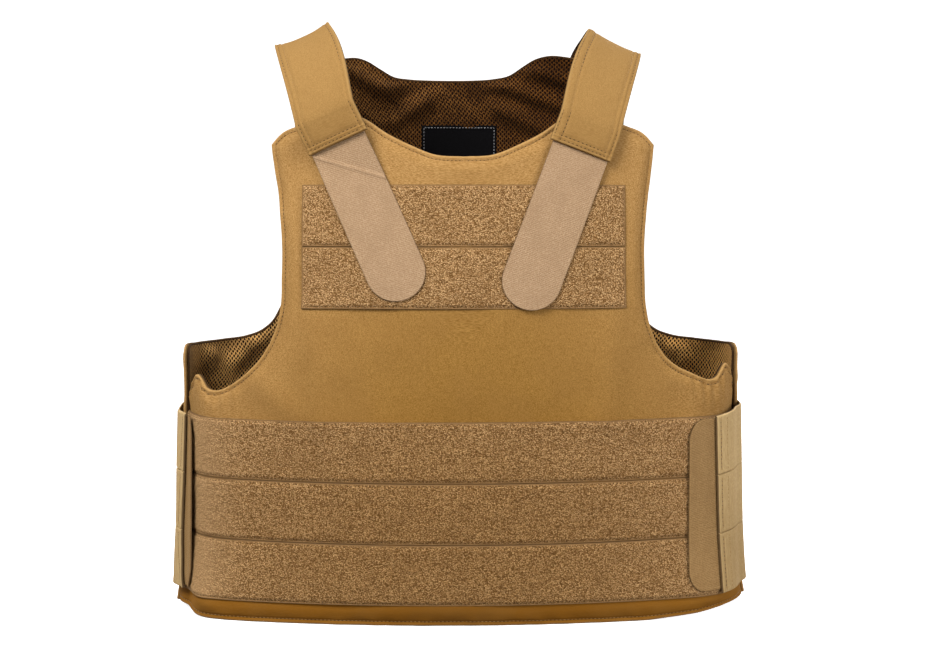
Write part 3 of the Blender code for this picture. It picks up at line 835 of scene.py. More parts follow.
def makeAirMesh(look):
    # knitted spacer mesh: staggered rows of oval holes, dark between rounded ribs, in a dark binding, with
    # painted light at the armholes and painted shade round one place high on the back lining
    material, tree, shader = newFinish("air mesh", 0.90, 0.05, 0.05)
    place, values = clothPlace(tree)
    wobble = mathNode(tree, "MULTIPLY", mathNode(tree, "SUBTRACT", speckle(tree, place, 0.008), 0.5), 0.5)
    counts = []
    for value, pitch in (("across", look["acrossPitch"]), ("up", look["upPitch"])):
        counts.append(mathNode(tree, "ADD", mathNode(tree, "DIVIDE", values[value], pitch), wobble))
    both = []
    for shift in (0.0, 0.5):
        waves = []
        for count, weight in zip(counts, (0.62, 0.38)):
            turn = mathNode(tree, "MULTIPLY", mathNode(tree, "ADD", count, shift), 2 * np.pi)
            waves.append(mathNode(tree, "MULTIPLY", mathNode(tree, "COSINE", turn), weight))
        both.append(mathNode(tree, "ADD", *waves))
    thread = speckle(tree, place, 0.0010, 2.0)
    values["ragged"] = mathNode(tree, "MULTIPLY_ADD", thread, 0.6, mathNode(tree, "MAXIMUM", *both))
    values["wash"] = speckle(tree, place, 0.035, 2.0)
    tone = mixColours(tree, between(tree, thread, 0.38, 0.62), look["shade"], look["rib"])
    tone = layTints(tree, tone, look, values)
    hole = between(tree, values["ragged"], 0.62, 0.98)
    bound = between(tree, values["away"], 0.0014, 0.0020)
    height = mathNode(tree, "SUBTRACT", mathNode(tree, "MULTIPLY", thread, 0.3), hole)
    dress(tree, shader, tone, mathNode(tree, "MULTIPLY", height, bound), 0.0012, 0.9)
    return material


labelLook = {
    "colour": (0.0018, 0.0016, 0.0020, 1),
    "light": (0.0060, 0.0056, 0.0066, 1),
    "twillPitch": 0.0010,
    "slant": 38.0,
}


def makeLabelWeave(look):
    # black satin: fine slanting ribs, faintly lighter on their tops
    material, tree, shader = newFinish("label satin", 0.70, 0.0, 0.04)
    place, values = clothPlace(tree)
    twill = ribs(tree, turned(tree, place, look["slant"]), "X", look["twillPitch"], 0.6)
    lint = speckle(tree, place, 0.002, 3.0)
    share = mathNode(tree, "MULTIPLY", between(tree, twill, 0.3, 1.0), between(tree, lint, 0.4, 0.8))
    dress(tree, shader, mixColours(tree, share, look["colour"], look["light"]), twill, 0.0002, 0.7)
    return material


def makeThread(name, light, dark):
    # spun thread: a fine twist that runs across each stitch
    material, tree, shader = newFinish(name, 0.6, 0.2)
    place = addNode(tree, "ShaderNodeTexCoord").outputs["Object"]
    twist = speckle(tree, place, 0.0008, 2.0)
    tone = mixColours(tree, between(tree, twist, 0.3, 0.7), dark, light)
    dress(tree, shader, tone, twist, 0.0002, 0.5)
    return material


panelNylon = makeNylon("panel nylon", nylonLook)
strapLook = {
    **nylonLook,
    "dark": (0.235, 0.126, 0.036, 1),
    "light": (0.345, 0.200, 0.068, 1),
    "edge": (0.390, 0.240, 0.090, 1),
    "tints": [row for row in nylonLook["tints"] if row[0] not in ("up", "worn")],
    "contrast": 0.7,
}
strapNylon = makeNylon("strap nylon", strapLook)
loopPile = makeLoopPile(loopLook)
hookBack = makeHookBack("hook tape back", hookLook)
sideHookLook = {
    **hookLook,
    "colour": (0.275, 0.160, 0.060, 1),
    "dark": (0.190, 0.104, 0.035, 1),
    "light": (0.345, 0.212, 0.088, 1),
    "ribPitch": 0.0018,
    "slant": -62.0,
    "wander": 5.0,
}
sideHookBack = makeHookBack("side hook back", sideHookLook)
# painted shade: a dark brown for the inner faces and edge walls of the side tabs and elastic bands, for the
# dark line along their edges
shadedWalls = makeHookBack("painted shade walls", {
    **sideHookLook,
    "colour": (0.125, 0.069, 0.027, 1),
    "dark": (0.080, 0.043, 0.016, 1),
    "light": (0.170, 0.098, 0.041, 1),
})
elasticWebbing = makeElastic(elasticLook)
airMesh = makeAirMesh(meshLook)
labelSatin = makeLabelWeave(labelLook)
tanThread = makeThread("tan thread", (0.330, 0.190, 0.066, 1), (0.200, 0.108, 0.034, 1))
# painted shade: a near-black for the dark beads between stitches, where the thread dips into the cloth
stitchDimpleShade = makeThread("stitch dimple shade", (0.055, 0.026, 0.008, 1), (0.030, 0.014, 0.004, 1))
paleThread = makeThread("pale thread", (0.620, 0.620, 0.630, 1), (0.380, 0.380, 0.390, 1))
print("finishes made")

stitchForms = []


sewing = {
    "share": 0.66,  # of the pitch that shows as thread
    "rings": np.array([-0.5, -0.3, 0.3, 0.5]),
    "girths": np.array([0.25, 1.0, 1.0, 0.25]),
    "stand": 0.35,
    "dimpleEnds": np.array([-0.15, 0.15]),
    "dimpleRings": np.array([-0.96, -0.40, 0.40, 0.96]),
    "dimpleGirths": np.array([0.48, 1.6, 1.6, 0.48]),
    "dimpleFlatness": 0.45,
}


def ringsRound(spine, forward, normal, girths, flatness=1.0):
    # four corners round each point of the spine, a girth out, flattened along the normal
    sideways = unit(np.cross(forward, normal))
    turns = np.radians([45, 135, 225, 315])[None, None, :, None]
    corners = sideways[:, :, None, :] * np.cos(turns) + normal[:, :, None, :] * flatness * np.sin(turns)
    return spine[:, :, None, :] + corners * girths[None, :, None, None]


def sewLine(path, put, pitch=0.0034, thread=0.00034, sink=0.0004, kind="tan"):
    # thread along a flat path: at every pitch one bead on put(x, y, rise), its middle standing out of
    # the cloth and its ends sunk in it, with a dark bead of painted shade between each two, where the
    # thread dips into the cloth
    path = np.asarray(path, float)
    reach = np.concatenate([[0], np.cumsum(np.hypot(*np.diff(path, axis=0).T))])
    count = max(int(reach[-1] / pitch), 1)
    starts = (np.arange(count) + 0.5) * reach[-1] / count

    def pointsAt(at, rises):
        # places on the cloth, and its unit normals there
        x, y = (np.interp(at, reach, path[:, k]) for k in (0, 1))
        rises = np.broadcast_to(rises, x.shape)
        place = put(x, y, rises)
        return place, unit(put(x, y, rises + 0.0005) - place)

    at = np.clip(starts[:, None] + sewing["rings"] * sewing["share"] * pitch, 0, reach[-1])
    stand = sewing["stand"] * thread
    spine, normal = pointsAt(at, np.array([-sink, stand, stand, -sink]))
    beads = ringsRound(spine, spine[:, -1:] - spine[:, :1], normal, sewing["girths"] * thread)
    stitchForms.append((kind, beads.reshape(count, 16, 3)))
    if kind != "pale":
        # dark beads of painted shade between the stitches
        gaps = starts[:-1] + 0.5 * pitch
        ends, normal = pointsAt(gaps[:, None] + sewing["dimpleEnds"] * pitch, 0.00002)
        along = ends[:, 1:] - ends[:, :1]
        spine = 0.5 * (ends[:, :1] + ends[:, 1:]) + along * sewing["dimpleRings"][None, :, None]
        girths = sewing["dimpleGirths"] * thread
        dimpleBeads = ringsRound(spine, along, normal[:, :1], girths, sewing["dimpleFlatness"])
        stitchForms.append(("hole", dimpleBeads.reshape(len(gaps), 16, 3)))


def gatherStitches(kind, name, finish):
    # every bead has four rings of four corners: three bands of quads and a quad at each end
    forms = [points for formKind, points in stitchForms if formKind == kind]
    points = np.concatenate(forms)
    band = np.array([[k, (k + 1) % 4, (k + 1) % 4 + 4, k + 4] for k in range(4)])
    bead = np.concatenate([band, band + 4, band + 8, [[3, 2, 1, 0]], [[12, 13, 14, 15]]])
    faces = (bead[None] + 16 * np.arange(len(points))[:, None, None]).reshape(-1, 4)
    return settle(makeMesh(name, points.reshape(-1, 3), faces, finish), None)


seamLook = {
    "edgeRadius": 0.0013,
    "stitchIn": 0.0040,
    "groove": 0.0009,
    "grooveWidth": 0.0010,
    "roll": 0.0003,
    "rollIn": 0.0018,
    "rollWidth": 0.0016,
    "pucker": 0.0008,
    "puckerLength": 0.0110,
    "puckerWidth": 0.0045,
    "earPitch": 0.0100,
    "earAcross": (0.185, 0.020),
    "earUp": (0.130, 0.030),
    "earAway": (0.000, 0.004),
    "earReach": 0.0140,
    "slack": 0.0011,
    "slackSize": 0.0550,
    "slackIn": 0.0200,
}


def panelFace(panel, across, up, away):
    # the outer face's height: a rounded rim, the padding behind it, a groove under the stitches
    # with short puckers across it, broad slack in the cloth, and upright puckers under the ears
    look, seed = seamLook, panel["grainSeed"]
    rim = layers["rim"] * roundEdge(away, look["edgeRadius"], 0.12)
    padding = (paddingAt(panel, across) - layers["rim"]) * smoothStep(away / layers["rimWidth"])
    groove = look["groove"] * hump(away, look["stitchIn"], look["grooveWidth"])
    roll = look["roll"] * hump(away, look["rollIn"], look["rollWidth"])
    wrinkle = grain(across + 0.6 * up, up - 0.6 * across, look["puckerLength"], seed)
    pucker = look["pucker"] * wrinkle * hump(away, look["stitchIn"], look["puckerWidth"])
    slack = grain(across, up, look["slackSize"], seed + 1)
    slack = slack + 0.5 * grain(across, up, 0.4 * look["slackSize"], seed + 2)
    slack = look["slack"] * slack * smoothStep(away / look["slackIn"])
    line = np.abs(across) / look["earPitch"] + 0.35 * grain(across, up, 0.02, seed + 3)
    nearEar = easeFrom(np.abs(across), look["earAcross"]) * easeFrom(up, look["earUp"])
    nearEar = nearEar * hump(away, 0, look["earReach"]) * easeFrom(away, look["earAway"])
    ears = panel["earPuckers"] * np.sin(2 * np.pi * line) * nearEar
    return rim + padding - groove + roll + pucker + slack + ears


def stitchPath(panel, depth):
    # the outline moved in by that depth, without the points that its corners bring too near
    line = outlineOf(panel)
    along = np.gradient(line, axis=0)
    along = along / np.linalg.norm(along, axis=1, keepdims=True)
    inward = line + depth * np.stack([-along[:, 1], along[:, 0]], -1)
    far = distanceTo(line, inward[:, 0], inward[:, 1]) > depth * 0.985
    return inward[far & (inward[:, 0] > -1e-6)]


def makePanel(name, panel):
    across, up, cells = panelGrid(panel, panel["spacing"])
    away = distanceTo(outlineOf(panel), across, up)
    outer = wrap(panel, across, up, panelFace(panel, across, up, away))
    inner = wrap(panel, across, up, 0.0)
    cloth = np.stack([across, up, away], -1)
    piece = settle(closedSheet(name, outer, inner, cloth, panelNylon, cells), name)
    path = stitchPath(panel, seamLook["stitchIn"])
    outline = outlineOf(panel)
    for side in (-1, 1):

        def put(x, y, rise):
            depth = distanceTo(outline, x, y)
            return wrap(panel, side * x, y, panelFace(panel, side * x, y, depth) + rise)

        sewLine(path, put)
    print(name, "made,", len(piece.data.polygons), "faces")
    return piece


makePanel("front_panel", frontPanel)
makePanel("back_panel", backPanel)

liningLook = {
    "inset": 0.0004,
    "spacing": 0.0030,
    "sideOverlap": {"front_lining": 0.0040, "back_lining": 0.0108},
    "slack": 1.25,
    "edgeEase": 0.0120,
    # slack that stands off into the body: across and up of both ends, radius, lift
    "folds": {
        "front_lining": [
            (-0.1200, 0.3900, -0.0700, 0.3700, 0.0080, 0.0035),
            (0.0800, 0.3800, 0.1250, 0.3950, 0.0080, 0.0035),
        ],
        "back_lining": [
            (0.0600, 0.4960, 0.1080, 0.4790, 0.0070, 0.0070),
            (0.0380, 0.4800, 0.1020, 0.4560, 0.0075, 0.0090),
            (0.0400, 0.4540, 0.0900, 0.4300, 0.0080, 0.0080),
            (-0.1080, 0.4930, -0.0700, 0.4760, 0.0075, 0.0085),
            (-0.1020, 0.4620, -0.0800, 0.4400, 0.0075, 0.0080),
            (-0.0620, 0.4740, -0.0300, 0.4900, 0.0075, 0.0075),
            (-0.0640, 0.4420, -0.0280, 0.4610, 0.0080, 0.0075),
            (-0.0150, 0.4700, 0.0100, 0.4450, 0.0100, 0.0030),
            (-0.1900, 0.2450, -0.2200, 0.2150, 0.0110, 0.0050),
            (-0.2500, 0.2200, -0.2300, 0.1900, 0.0110, 0.0050),
            (0.1900, 0.2450, 0.2200, 0.2150, 0.0110, 0.0050),
        ],
    },
}


def makeLining(name, wholePanel):
    # two even layers just inside the panel, moved off it by the folds except at the sewn edge
    panel = {**wholePanel, "sideOverlap": liningLook["sideOverlap"][name]}
    across, up, cells = panelGrid(panel, liningLook["spacing"], liningLook["inset"])
    near = -layers["gap"]
    away = distanceTo(outlineOf(panel, liningLook["inset"]), across, up)
    slack = foldLift(liningLook["folds"][name], across, up) * smoothStep(away / liningLook["edgeEase"])
    near = near - liningLook["slack"] * slack
    outer = wrap(panel, across, up, near)
    inner = wrap(panel, across, up, near - layers["lining"] * roundEdge(away, 0.0008, 0.4))
    cloth = np.stack([across, up, away], -1)
    piece = settle(closedSheet(name, outer, inner, cloth, airMesh, cells), name)
    return piece


makeLining("front_lining", frontPanel)
makeLining("back_lining", backPanel)

loops = {
    "width": 0.0530,
    "spacing": 0.0011,
    "pile": 0.0008,
    "tuftSize": 0.0019,
    "curlSize": 0.0011,
    "selvage": 0.0014,
    "stitchIn": 0.0024,
    "endStitchIn": 0.0055,
    "groove": 0.0006,
    "grooveWidth": 0.0008,
    "bellyBottom": 0.0180,
    "bellyMargin": 0.0140,
    "chestBottom": 0.2738,
    "chestHalf": 0.1390,
}


def makeLoop(name, halfLength, bottom, seed):
    # a flat tape with rounded edges, its pile two sizes of noise that fade out at the selvage
    bottom = bottom - (loops["width"] - tapeWidth) / 2
    top = bottom + loops["width"]
    across, up = stripGrid(halfLength, bottom, loops["width"], loops["spacing"])
    away = edgeDistance(across, up, halfLength, bottom, top)

    def face(x, y):
        depth = edgeDistance(x, y, halfLength, bottom, top)
        piled = smoothStep((depth - 0.6 * loops["selvage"]) / (0.6 * loops["selvage"]))
        fuzz = 0.65 * grain(x, y, loops["tuftSize"], seed) + 0.35 * grain(x, y, loops["curlSize"], seed + 1)
        stand = smoothStep((depth - loops["selvage"]) / 0.0018)
        flat = layers["loop"] * (0.15 + 0.40 * roundEdge(depth, 0.0004) + 0.45 * stand)
        flat = flat - 0.0005 * (1 - smoothStep(depth / 0.0028))
        toEnd, toEdge = halfLength - np.abs(x), np.minimum(y - bottom, top - y)
        endSeam = hump(toEnd, loops["endStitchIn"], loops["grooveWidth"]) * (toEdge > loops["stitchIn"])
        seam = hump(toEdge, loops["stitchIn"], loops["grooveWidth"]) * (toEnd > loops["endStitchIn"])
        return loopLift + flat + loops["pile"] * fuzz * piled - loops["groove"] * (seam + endSeam)

    outer = wrapOutside(frontPanel, across, up, face(across, up))
    inner = wrapOutside(frontPanel, across, up, 0.0001)
    cloth = np.stack([across, up + 0.11 * seed, away], -1)
    piece = settle(closedSheet(name, outer, inner, cloth, loopPile), name)

    def put(x, y, rise):
        return wrapOutside(frontPanel, x, y, face(x, y) + rise)

    line = frameLine(halfLength, bottom, top, loops["endStitchIn"], loops["stitchIn"])
    sewLine(line, put, 0.0032, 0.00026, 0.0003, "loop")
    return piece


bellyHalf = sideEnd(frontPanel) - loops["bellyMargin"]
for place, rowNames, halfLength, seed in (
    ("belly", ("lower", "middle", "upper"), bellyHalf, 20),
    ("chest", ("lower", "upper"), loops["chestHalf"], 30),
):
    for number, rowName in enumerate(rowNames):
        bottom = loops[place + "Bottom"] + number * (tapeWidth + rowGap)
        makeLoop(place + "_loop_" + rowName, halfLength, bottom, seed + number)
print("loop strips made")

straps = {
    "width": 0.0540,
    "onFront": 0.0260,
    "onBack": 0.0420,
    "backUp": 0.4930,
    "backTilt": 20.0,
    "apexDepth": 0.0120,
    # how far the arch keeps its direction: off the chest and back, and over the top
    "endPull": 0.90,
    "topPull": 0.34,
    "endStraight": np.array([1.0, 0.35, 0.35]),
    "topSag": {1: 0.0028, -1: 0.0042},
    "innerFlare": 0.0042,
    "spacing": 0.0018,
    "outerStitches": (0.0034, 0.0080),
    "innerStitches": {1: (0.0018, 0.0076), -1: (0.0036,)},
    "endStitches": (0.0030, 0.0065),
    "endStitchIn": 0.0040,
    "groove": 0.0008,
    "grooveWidth": 0.0010,
    # sign, tab across and up, end across and up, apex across, up and tilt, across on the back
    "left": (1, 0.0565, 0.2970, 0.0987, 0.4075, 0.1392, 0.5107, 26.0, 0.1330),
    "right": (-1, 0.0580, 0.3048, 0.1058, 0.4140, 0.1440, 0.5167, 23.5, 0.1330),
    # for each sign, the crease across the tab: its height at the outer and inner edge, its slope
    "creases": {1: (0.0, 0.0, 0.0), -1: (0.1190, 0.0770, 0.18)},
    "creaseRidge": 0.0011,
}


def strapAxes(route):
    # unit steps up the strap and out across it, in the front's flat pattern
    rise = np.array([route[3] - route[1], route[4] - route[2]])
    along = rise / np.linalg.norm(rise)
    return along, np.array([along[1], -along[0]])


def creaseLift(route, along, out):
    # the slope times the height above the crease's line, eased in over a millimetre, and a low
    # ridge just under the line
    atOuter, atInner, slope = straps["creases"][route[0]]
    line = 0.5 * (atOuter + atInner) + (atOuter - atInner) * out / tapeWidth
    above = along - line
    ease = 0.0010
    ridge = straps["creaseRidge"] * hump(above, -ease, 0.0017) * (slope > 0)
    return slope * 0.5 * (above + np.sqrt(above**2 + ease**2)) + ridge


def chestPoint(route, start, along, out, lift):
    # start, plus along times the strap's direction, plus out times its width direction
    direction, sideways = strapAxes(route)
    across = start[0] + direction[0] * along + sideways[0] * out
    up = start[1] + direction[1] * along + sideways[1] * out
    fromTab = (across - route[1]) * direction[0] + (up - route[2]) * direction[1]
    return wrapOutside(frontPanel, route[0] * across, up, lift + creaseLift(route, fromTab, out))


def shoulderPoint(route, down, out, lift):
    # the same on the back panel, down from the shoulder and tilted
    tilt = radians(straps["backTilt"])
    across = route[8] - np.sin(tilt) * down + np.cos(tilt) * out
    up = straps["backUp"] - np.cos(tilt) * down - np.sin(tilt) * out
    return wrapOutside(backPanel, route[0] * across, up, lift)


def frameOf(pointAt):
    # place, direction and width direction, from small steps each way
    step = 0.002
    place = pointAt(0.0, 0.0)
    return place, (pointAt(step, 0.0) - place) / step, (pointAt(0.0, step) - place) / step


def archFrames(route):
    # off the chest, over the top, and onto the back
    start = (route[3], route[4])
    tilt = radians(route[7])
    chest = frameOf(lambda along, out: chestPoint(route, start, straps["onFront"] + along, out, strapLift))
    apex = (
        np.array([route[0] * route[5], straps["apexDepth"], route[6]]),
        np.array([0.0, 1.0, 0.0]),
        np.array([route[0] * np.cos(tilt), 0.0, -np.sin(tilt)]),
    )
    back = frameOf(lambda down, out: shoulderPoint(route, down, out, loopLift))
    return chest, apex, back


def archMiddle(frames, share):
    # a cubic from the chest to the top and another from there to the back, with pulled tangents.
    # It leaves the chest nearly straight for the top
    made = []
    endPull, topPull = straps["endPull"], straps["topPull"]
    for first, second, t, firstPull, secondPull in (
        (frames[0], frames[1], 2 * share, endPull, topPull),
        (frames[1], frames[2], 2 * share - 1, topPull, endPull),
    ):
        t = np.clip(t, 0, 1)[:, None]
        reach = np.linalg.norm(second[0] - first[0])
        chord = (second[0] - first[0]) / reach
        start, finish = unit(first[1]), unit(second[1])
        if firstPull == endPull:
            start = unit(start + straps["endStraight"] * (chord - start))
        made.append(
            (1 + 2 * t) * (1 - t) ** 2 * first[0]
            + t * (1 - t) ** 2 * firstPull * reach * start
            + t * t * (3 - 2 * t) * second[0]
            + t * t * (t - 1) * secondPull * reach * finish
        )
    return np.where(share[:, None] < 0.5, made[0], made[1])


def archPoint(frames, share, out, lift):
    # the middle line, plus out along the width, plus lift along the strap's face, less a sag that
    # is greatest in the middle of its width and at the top. The front leg's inner half flares
    low = share[:, None] < 0.5
    blend = smoothStep(np.where(low, 2 * share[:, None], 2 * share[:, None] - 1))
    first = np.where(low, unit(frames[0][2]), unit(frames[1][2]))
    second = np.where(low, unit(frames[1][2]), unit(frames[2][2]))
    width = unit(first * (1 - blend) + second * blend)
    before, after = np.maximum(share - 0.002, 0), np.minimum(share + 0.002, 1)
    ahead = archMiddle(frames, after) - archMiddle(frames, before)
    facing = unit(np.cross(width, ahead))
    upward = np.where(facing @ np.array([0, 0.3, 1.0]) > 0, 1, -1)
    forward = np.where(facing[:, 1] < 0, 1, -1)
    outside = np.where(share < 0.25, forward, upward)[:, None]
    half = straps["width"] / 2
    apexSide = 1 if frames[1][0][0] > 0 else -1
    sag = straps["topSag"][apexSide] * (1 - (out / half) ** 2)
    sag = sag * hump(share, 0.5, 0.17)[:, None]
    leg = (0.4 + 0.6 * smoothStep(share / 0.20)) * (1 - smoothStep((share - 0.22) / 0.26))
    out = out - straps["innerFlare"] * leg[:, None] * np.clip(-out / half, 0, 1)
    return (
        archMiddle(frames, share)[:, None, :]
        + width[:, None, :] * out[..., None]
        + (facing * outside)[:, None, :] * lift[..., None]
        - sag[..., None] * np.array([0, 0, 1.0])
    )


def strapPoint(route, frames, archLength, along, out, lift):
    # one strap from end to end, its arch eased into the two ends that lie on the panels.
    # along is a column of lengths, and out and lift are the same on every row or a full grid
    start = (route[3], route[4])
    out, lift = np.broadcast_arrays(out, lift)
    out = np.broadcast_to(out, (len(along), out.shape[-1]))
    lift = np.broadcast_to(lift, out.shape)
    onFront = straps["onFront"]
    share = np.clip((along - onFront) / archLength, 0, 1)
    flare = 0.4 * straps["innerFlare"]
    chestOut = out - flare * np.clip(-2 * out / straps["width"], 0, 1)
    onChest = chestPoint(route, start, np.minimum(along, onFront)[:, None], chestOut, strapLift + lift)
    down = np.maximum(along - onFront - archLength, 0)[:, None]
    onShoulder = shoulderPoint(route, down, out, loopLift + lift)
    arch = archPoint(frames, share, out, lift)
    ends = archPoint(frames, np.array([0.0, 1.0]), out[:1].repeat(2, 0), lift[:1].repeat(2, 0))
    seamFront = chestPoint(route, start, onFront, chestOut[:1], strapLift + lift[:1]) - ends[:1]
    seamBack = shoulderPoint(route, 0.0, out[:1], loopLift + lift[:1]) - ends[1:]
    fromFront = (1 - smoothStep(share / 0.25))[:, None, None]
    fromBack = (1 - smoothStep((1 - share) / 0.25))[:, None, None]
    arch = arch + seamFront * fromFront + seamBack * fromBack
    made = np.where((along <= onFront)[:, None, None], onChest, arch)
    return np.where((along > onFront + archLength)[:, None, None], onShoulder, made)


def makeStrap(side):
    route = straps[side]
    frames = archFrames(route)
    middle = archMiddle(frames, np.linspace(0, 1, 80))
    archLength = float(np.linalg.norm(np.diff(middle, axis=0), axis=1).sum())
    total = straps["onFront"] + archLength + straps["onBack"]
    half = straps["width"] / 2
    along = stepsAlong(total, straps["spacing"])
    out = stepsAlong(2 * half, 0.0014) - half
    away = edgeDistance(out[None, :], along[:, None], half, 0, total)
    outerRows, endRows = straps["outerStitches"], straps["endStitches"]
    innerRows = straps["innerStitches"][route[0]]

    def face(x, y):
        # x out and y along: a rounded edge, a groove under every row of stitches, and slack
        depth = edgeDistance(x, y, half, 0, total)
        height = layers["strap"] * roundEdge(depth, 0.0015, 0.10)
        for fromEdge, rows in ((half - x, outerRows), (half + x, innerRows), (y, endRows)):
            for inset in rows:
                height = height - straps["groove"] * hump(fromEdge, inset, straps["grooveWidth"])
        return height + 0.0004 * grain(x, y, 0.014, 41) * smoothStep(depth / 0.004)

    grid = face(*np.meshgrid(out, along))
    outer = strapPoint(route, frames, archLength, along, out[None, :], grid)
    inner = strapPoint(route, frames, archLength, along, out[None, :], np.zeros((1, len(out))))
    cloth = np.stack([*np.meshgrid(out, along), away], -1)
    name = "shoulder_strap_" + side
    piece = closedSheet(name, outer, inner, cloth, strapNylon, None, airMesh)
    settle(piece, name)

    def put(x, y, rise):
        # one point for each x and y, worked out as rows of one
        flatX, flatY = x.ravel(), y.ravel()
        lift = (face(flatX, flatY) + rise.ravel())[:, None]
        return strapPoint(route, frames, archLength, flatY, flatX[:, None], lift).reshape(*x.shape, 3)

    for x in [half - inset for inset in outerRows] + [inset - half for inset in innerRows]:
        sewLine([(x, endRows[0]), (x, total - endRows[0])], put)
    reach = half - straps["endStitchIn"]
    for inset in endRows:
        for y in (inset, total - inset):
            sewLine([(-reach, y), (reach, y)], put)
    print(name, "made,", round(total, 3), "m long")
    return piece


tabs = {
    "underStrap": 0.0220,
    "spacing": 0.0011,
    "columns": 96,
    "ribPitch": 0.0021,
    "ribHeight": 0.00008,
    "edgeRadius": 0.0007,
}


def makeStrapTab(side):
    # columns start on a half circle and run up to a straight end under the strap
    route = straps[side]
    radius = tapeWidth / 2
    rise = float(np.hypot(route[3] - route[1], route[4] - route[2]))
    straight = rise + tabs["underStrap"]
    turn = np.linspace(-1, 1, tabs["columns"] + 1) * radians(88)
    out = radius * np.sin(turn)
    start = -radius * np.cos(turn)
    share = stepsAlong(1.0, tabs["spacing"] / straight, tapeOffsets / straight, tapeOffsets / straight)
    along = start[None, :] + share[:, None] * (straight - start)[None, :]
    outGrid = np.broadcast_to(out, along.shape)

    def face(x, y):
        tip = radius - np.hypot(x, np.minimum(y, 0))
        depth = np.minimum(tip, straight - y)
        height = layers["hook"] * roundEdge(depth, tabs["edgeRadius"], 0.15)
        return height + tabs["ribHeight"] * np.sin(2 * np.pi * x / tabs["ribPitch"])

    tip = radius - np.hypot(outGrid, np.minimum(along, 0))
    away = np.minimum(tip, straight - along)
    origin = (route[1], route[2])
    outer = chestPoint(route, origin, along, outGrid, hookLift + face(outGrid, along))
    inner = chestPoint(route, origin, along, outGrid, hookLift)
    cloth = np.stack([outGrid, along, away], -1)
    name = "strap_hook_" + side
    piece = settle(closedSheet(name, outer, inner, cloth, hookBack), name)
    return piece


for sideName in ("left", "right"):
    makeStrap(sideName)
    makeStrapTab(sideName)
print("shoulder straps and their hook tabs made")

closure = {
    "tabWidth": 0.0470,
    "tabBottom": 0.0220,
    "tabTop": 0.1742,
    "cornerWidth": {"left": 0.0140, "right": 0.0080},
    "cornerHeight": 0.0200,
    "bandWidth": 0.0521,
    "bandBottom": 0.0192,
    "bandPitch": 0.0524,
    "backEnd": 0.1720,
    "gap": 0.0009,
    "spreadFrom": 0.2150,
    "margin": 0.0050,
    "blend": 0.0180,
    "settle": 0.0180,
    "hem": 0.0140,
    "hemRise": 0.0008,
    "hemStitches": (0.0045, 0.0125),
    "backStitches": (0.0045, 0.0100),
    "bandStitchIn": 0.0025,
    "groove": 0.0005,
    "grooveWidth": 0.0009,
    "ribPitch": 0.0024,
    "ribHeight": 0.00012,
    "ribWander": 0.0008,
    "bandRibHeight": 0.00004,
    "slant": 0.0065,
    "standOff": 0.0013,
    "climb": 0.0050,
    "climbRun": 0.0600,
    # sign, across of the tab's front, across of the bands' fronts
    "left": (1, 0.1967, 0.2200),
    "right": (-1, 0.2446, 0.2535),
}


def girdlePoint(side, around, up, lift):
    # over the belly loops, spreading out to the back panel's side and going on round the back
    around, up, lift = np.broadcast_arrays(around, up, lift)
    frontHalf, backHalf = halfGirth(frontPanel, up), halfGirth(backPanel, up)
    overBack = wrapOutside(backPanel, side * (backHalf + frontHalf - around), up, closure["gap"] + lift)
    reach = frontHalf - backPanel["sideOverlap"] - closure["margin"]
    widening = sectionAt(backPanel, up)[0] - sectionAt(frontPanel, up)[0]
    share = smoothStep((around - closure["spreadFrom"]) / (reach - closure["spreadFrom"]))
    base = hookLift + share * (closure["gap"] + widening - hookLift)
    overFront = wrapOutside(frontPanel, side * np.minimum(around, reach), up, base + lift)
    blend = smoothStep(1 - (reach - around) / closure["blend"])[..., None]
    return np.where((around >= reach)[..., None], overBack, overFront + (overBack - overFront) * blend)


def makeSideTab(side):
    # upright hook tape with rounded front corners, ribbed along the body
    sign, tabFront, _ = closure[side]
    halfHeight = (closure["tabTop"] - closure["tabBottom"]) / 2
    middle = closure["tabBottom"] + halfHeight
    wide, high = closure["cornerWidth"][side], closure["cornerHeight"]
    rounding = wide * (1 - np.cos(np.linspace(0, np.pi / 2, 14)))
    straight = wide + stepsAlong(closure["tabWidth"] - wide, 0.0016, None, tapeOffsets)[1:]
    forward = np.concatenate([rounding, straight])
    cut = high * (1 - roundEdge(forward, wide))
    share = stepsAlong(2.0, 0.0008 / halfHeight, tapeOffsets / halfHeight, tapeOffsets / halfHeight) - 1
    up = middle + share[:, None] * (halfHeight - cut)[None, :]
    around = np.broadcast_to(tabFront + forward, up.shape)
    inUp = (1 - np.abs(share))[:, None] * halfHeight
    away = np.minimum(np.minimum(inUp, forward[None, :]), closure["tabWidth"] - forward[None, :])
    line = up + closure["ribWander"] * grain(around, up, 0.008, 61)
    ridge = closure["ribHeight"] * np.sin(2 * np.pi * line / closure["ribPitch"]) * smoothStep(away / 0.002)
    height = layers["hook"] * roundEdge(away, tabs["edgeRadius"], 0.15) + ridge
    lifted = closure["standOff"] * (1 - smoothStep(forward / 0.009))[None, :]
    outer = girdlePoint(sign, around, up, height + lifted)
    inner = girdlePoint(sign, around, up, lifted)
    cloth = np.stack([around, up, away], -1)
    name = "side_hook_" + side
    # the dark brown on the tab's inner face and edge walls is painted shade
    piece = closedSheet(name, outer, inner, cloth, sideHookBack, None, shadedWalls, 1)
    settle(piece, name)
    return piece


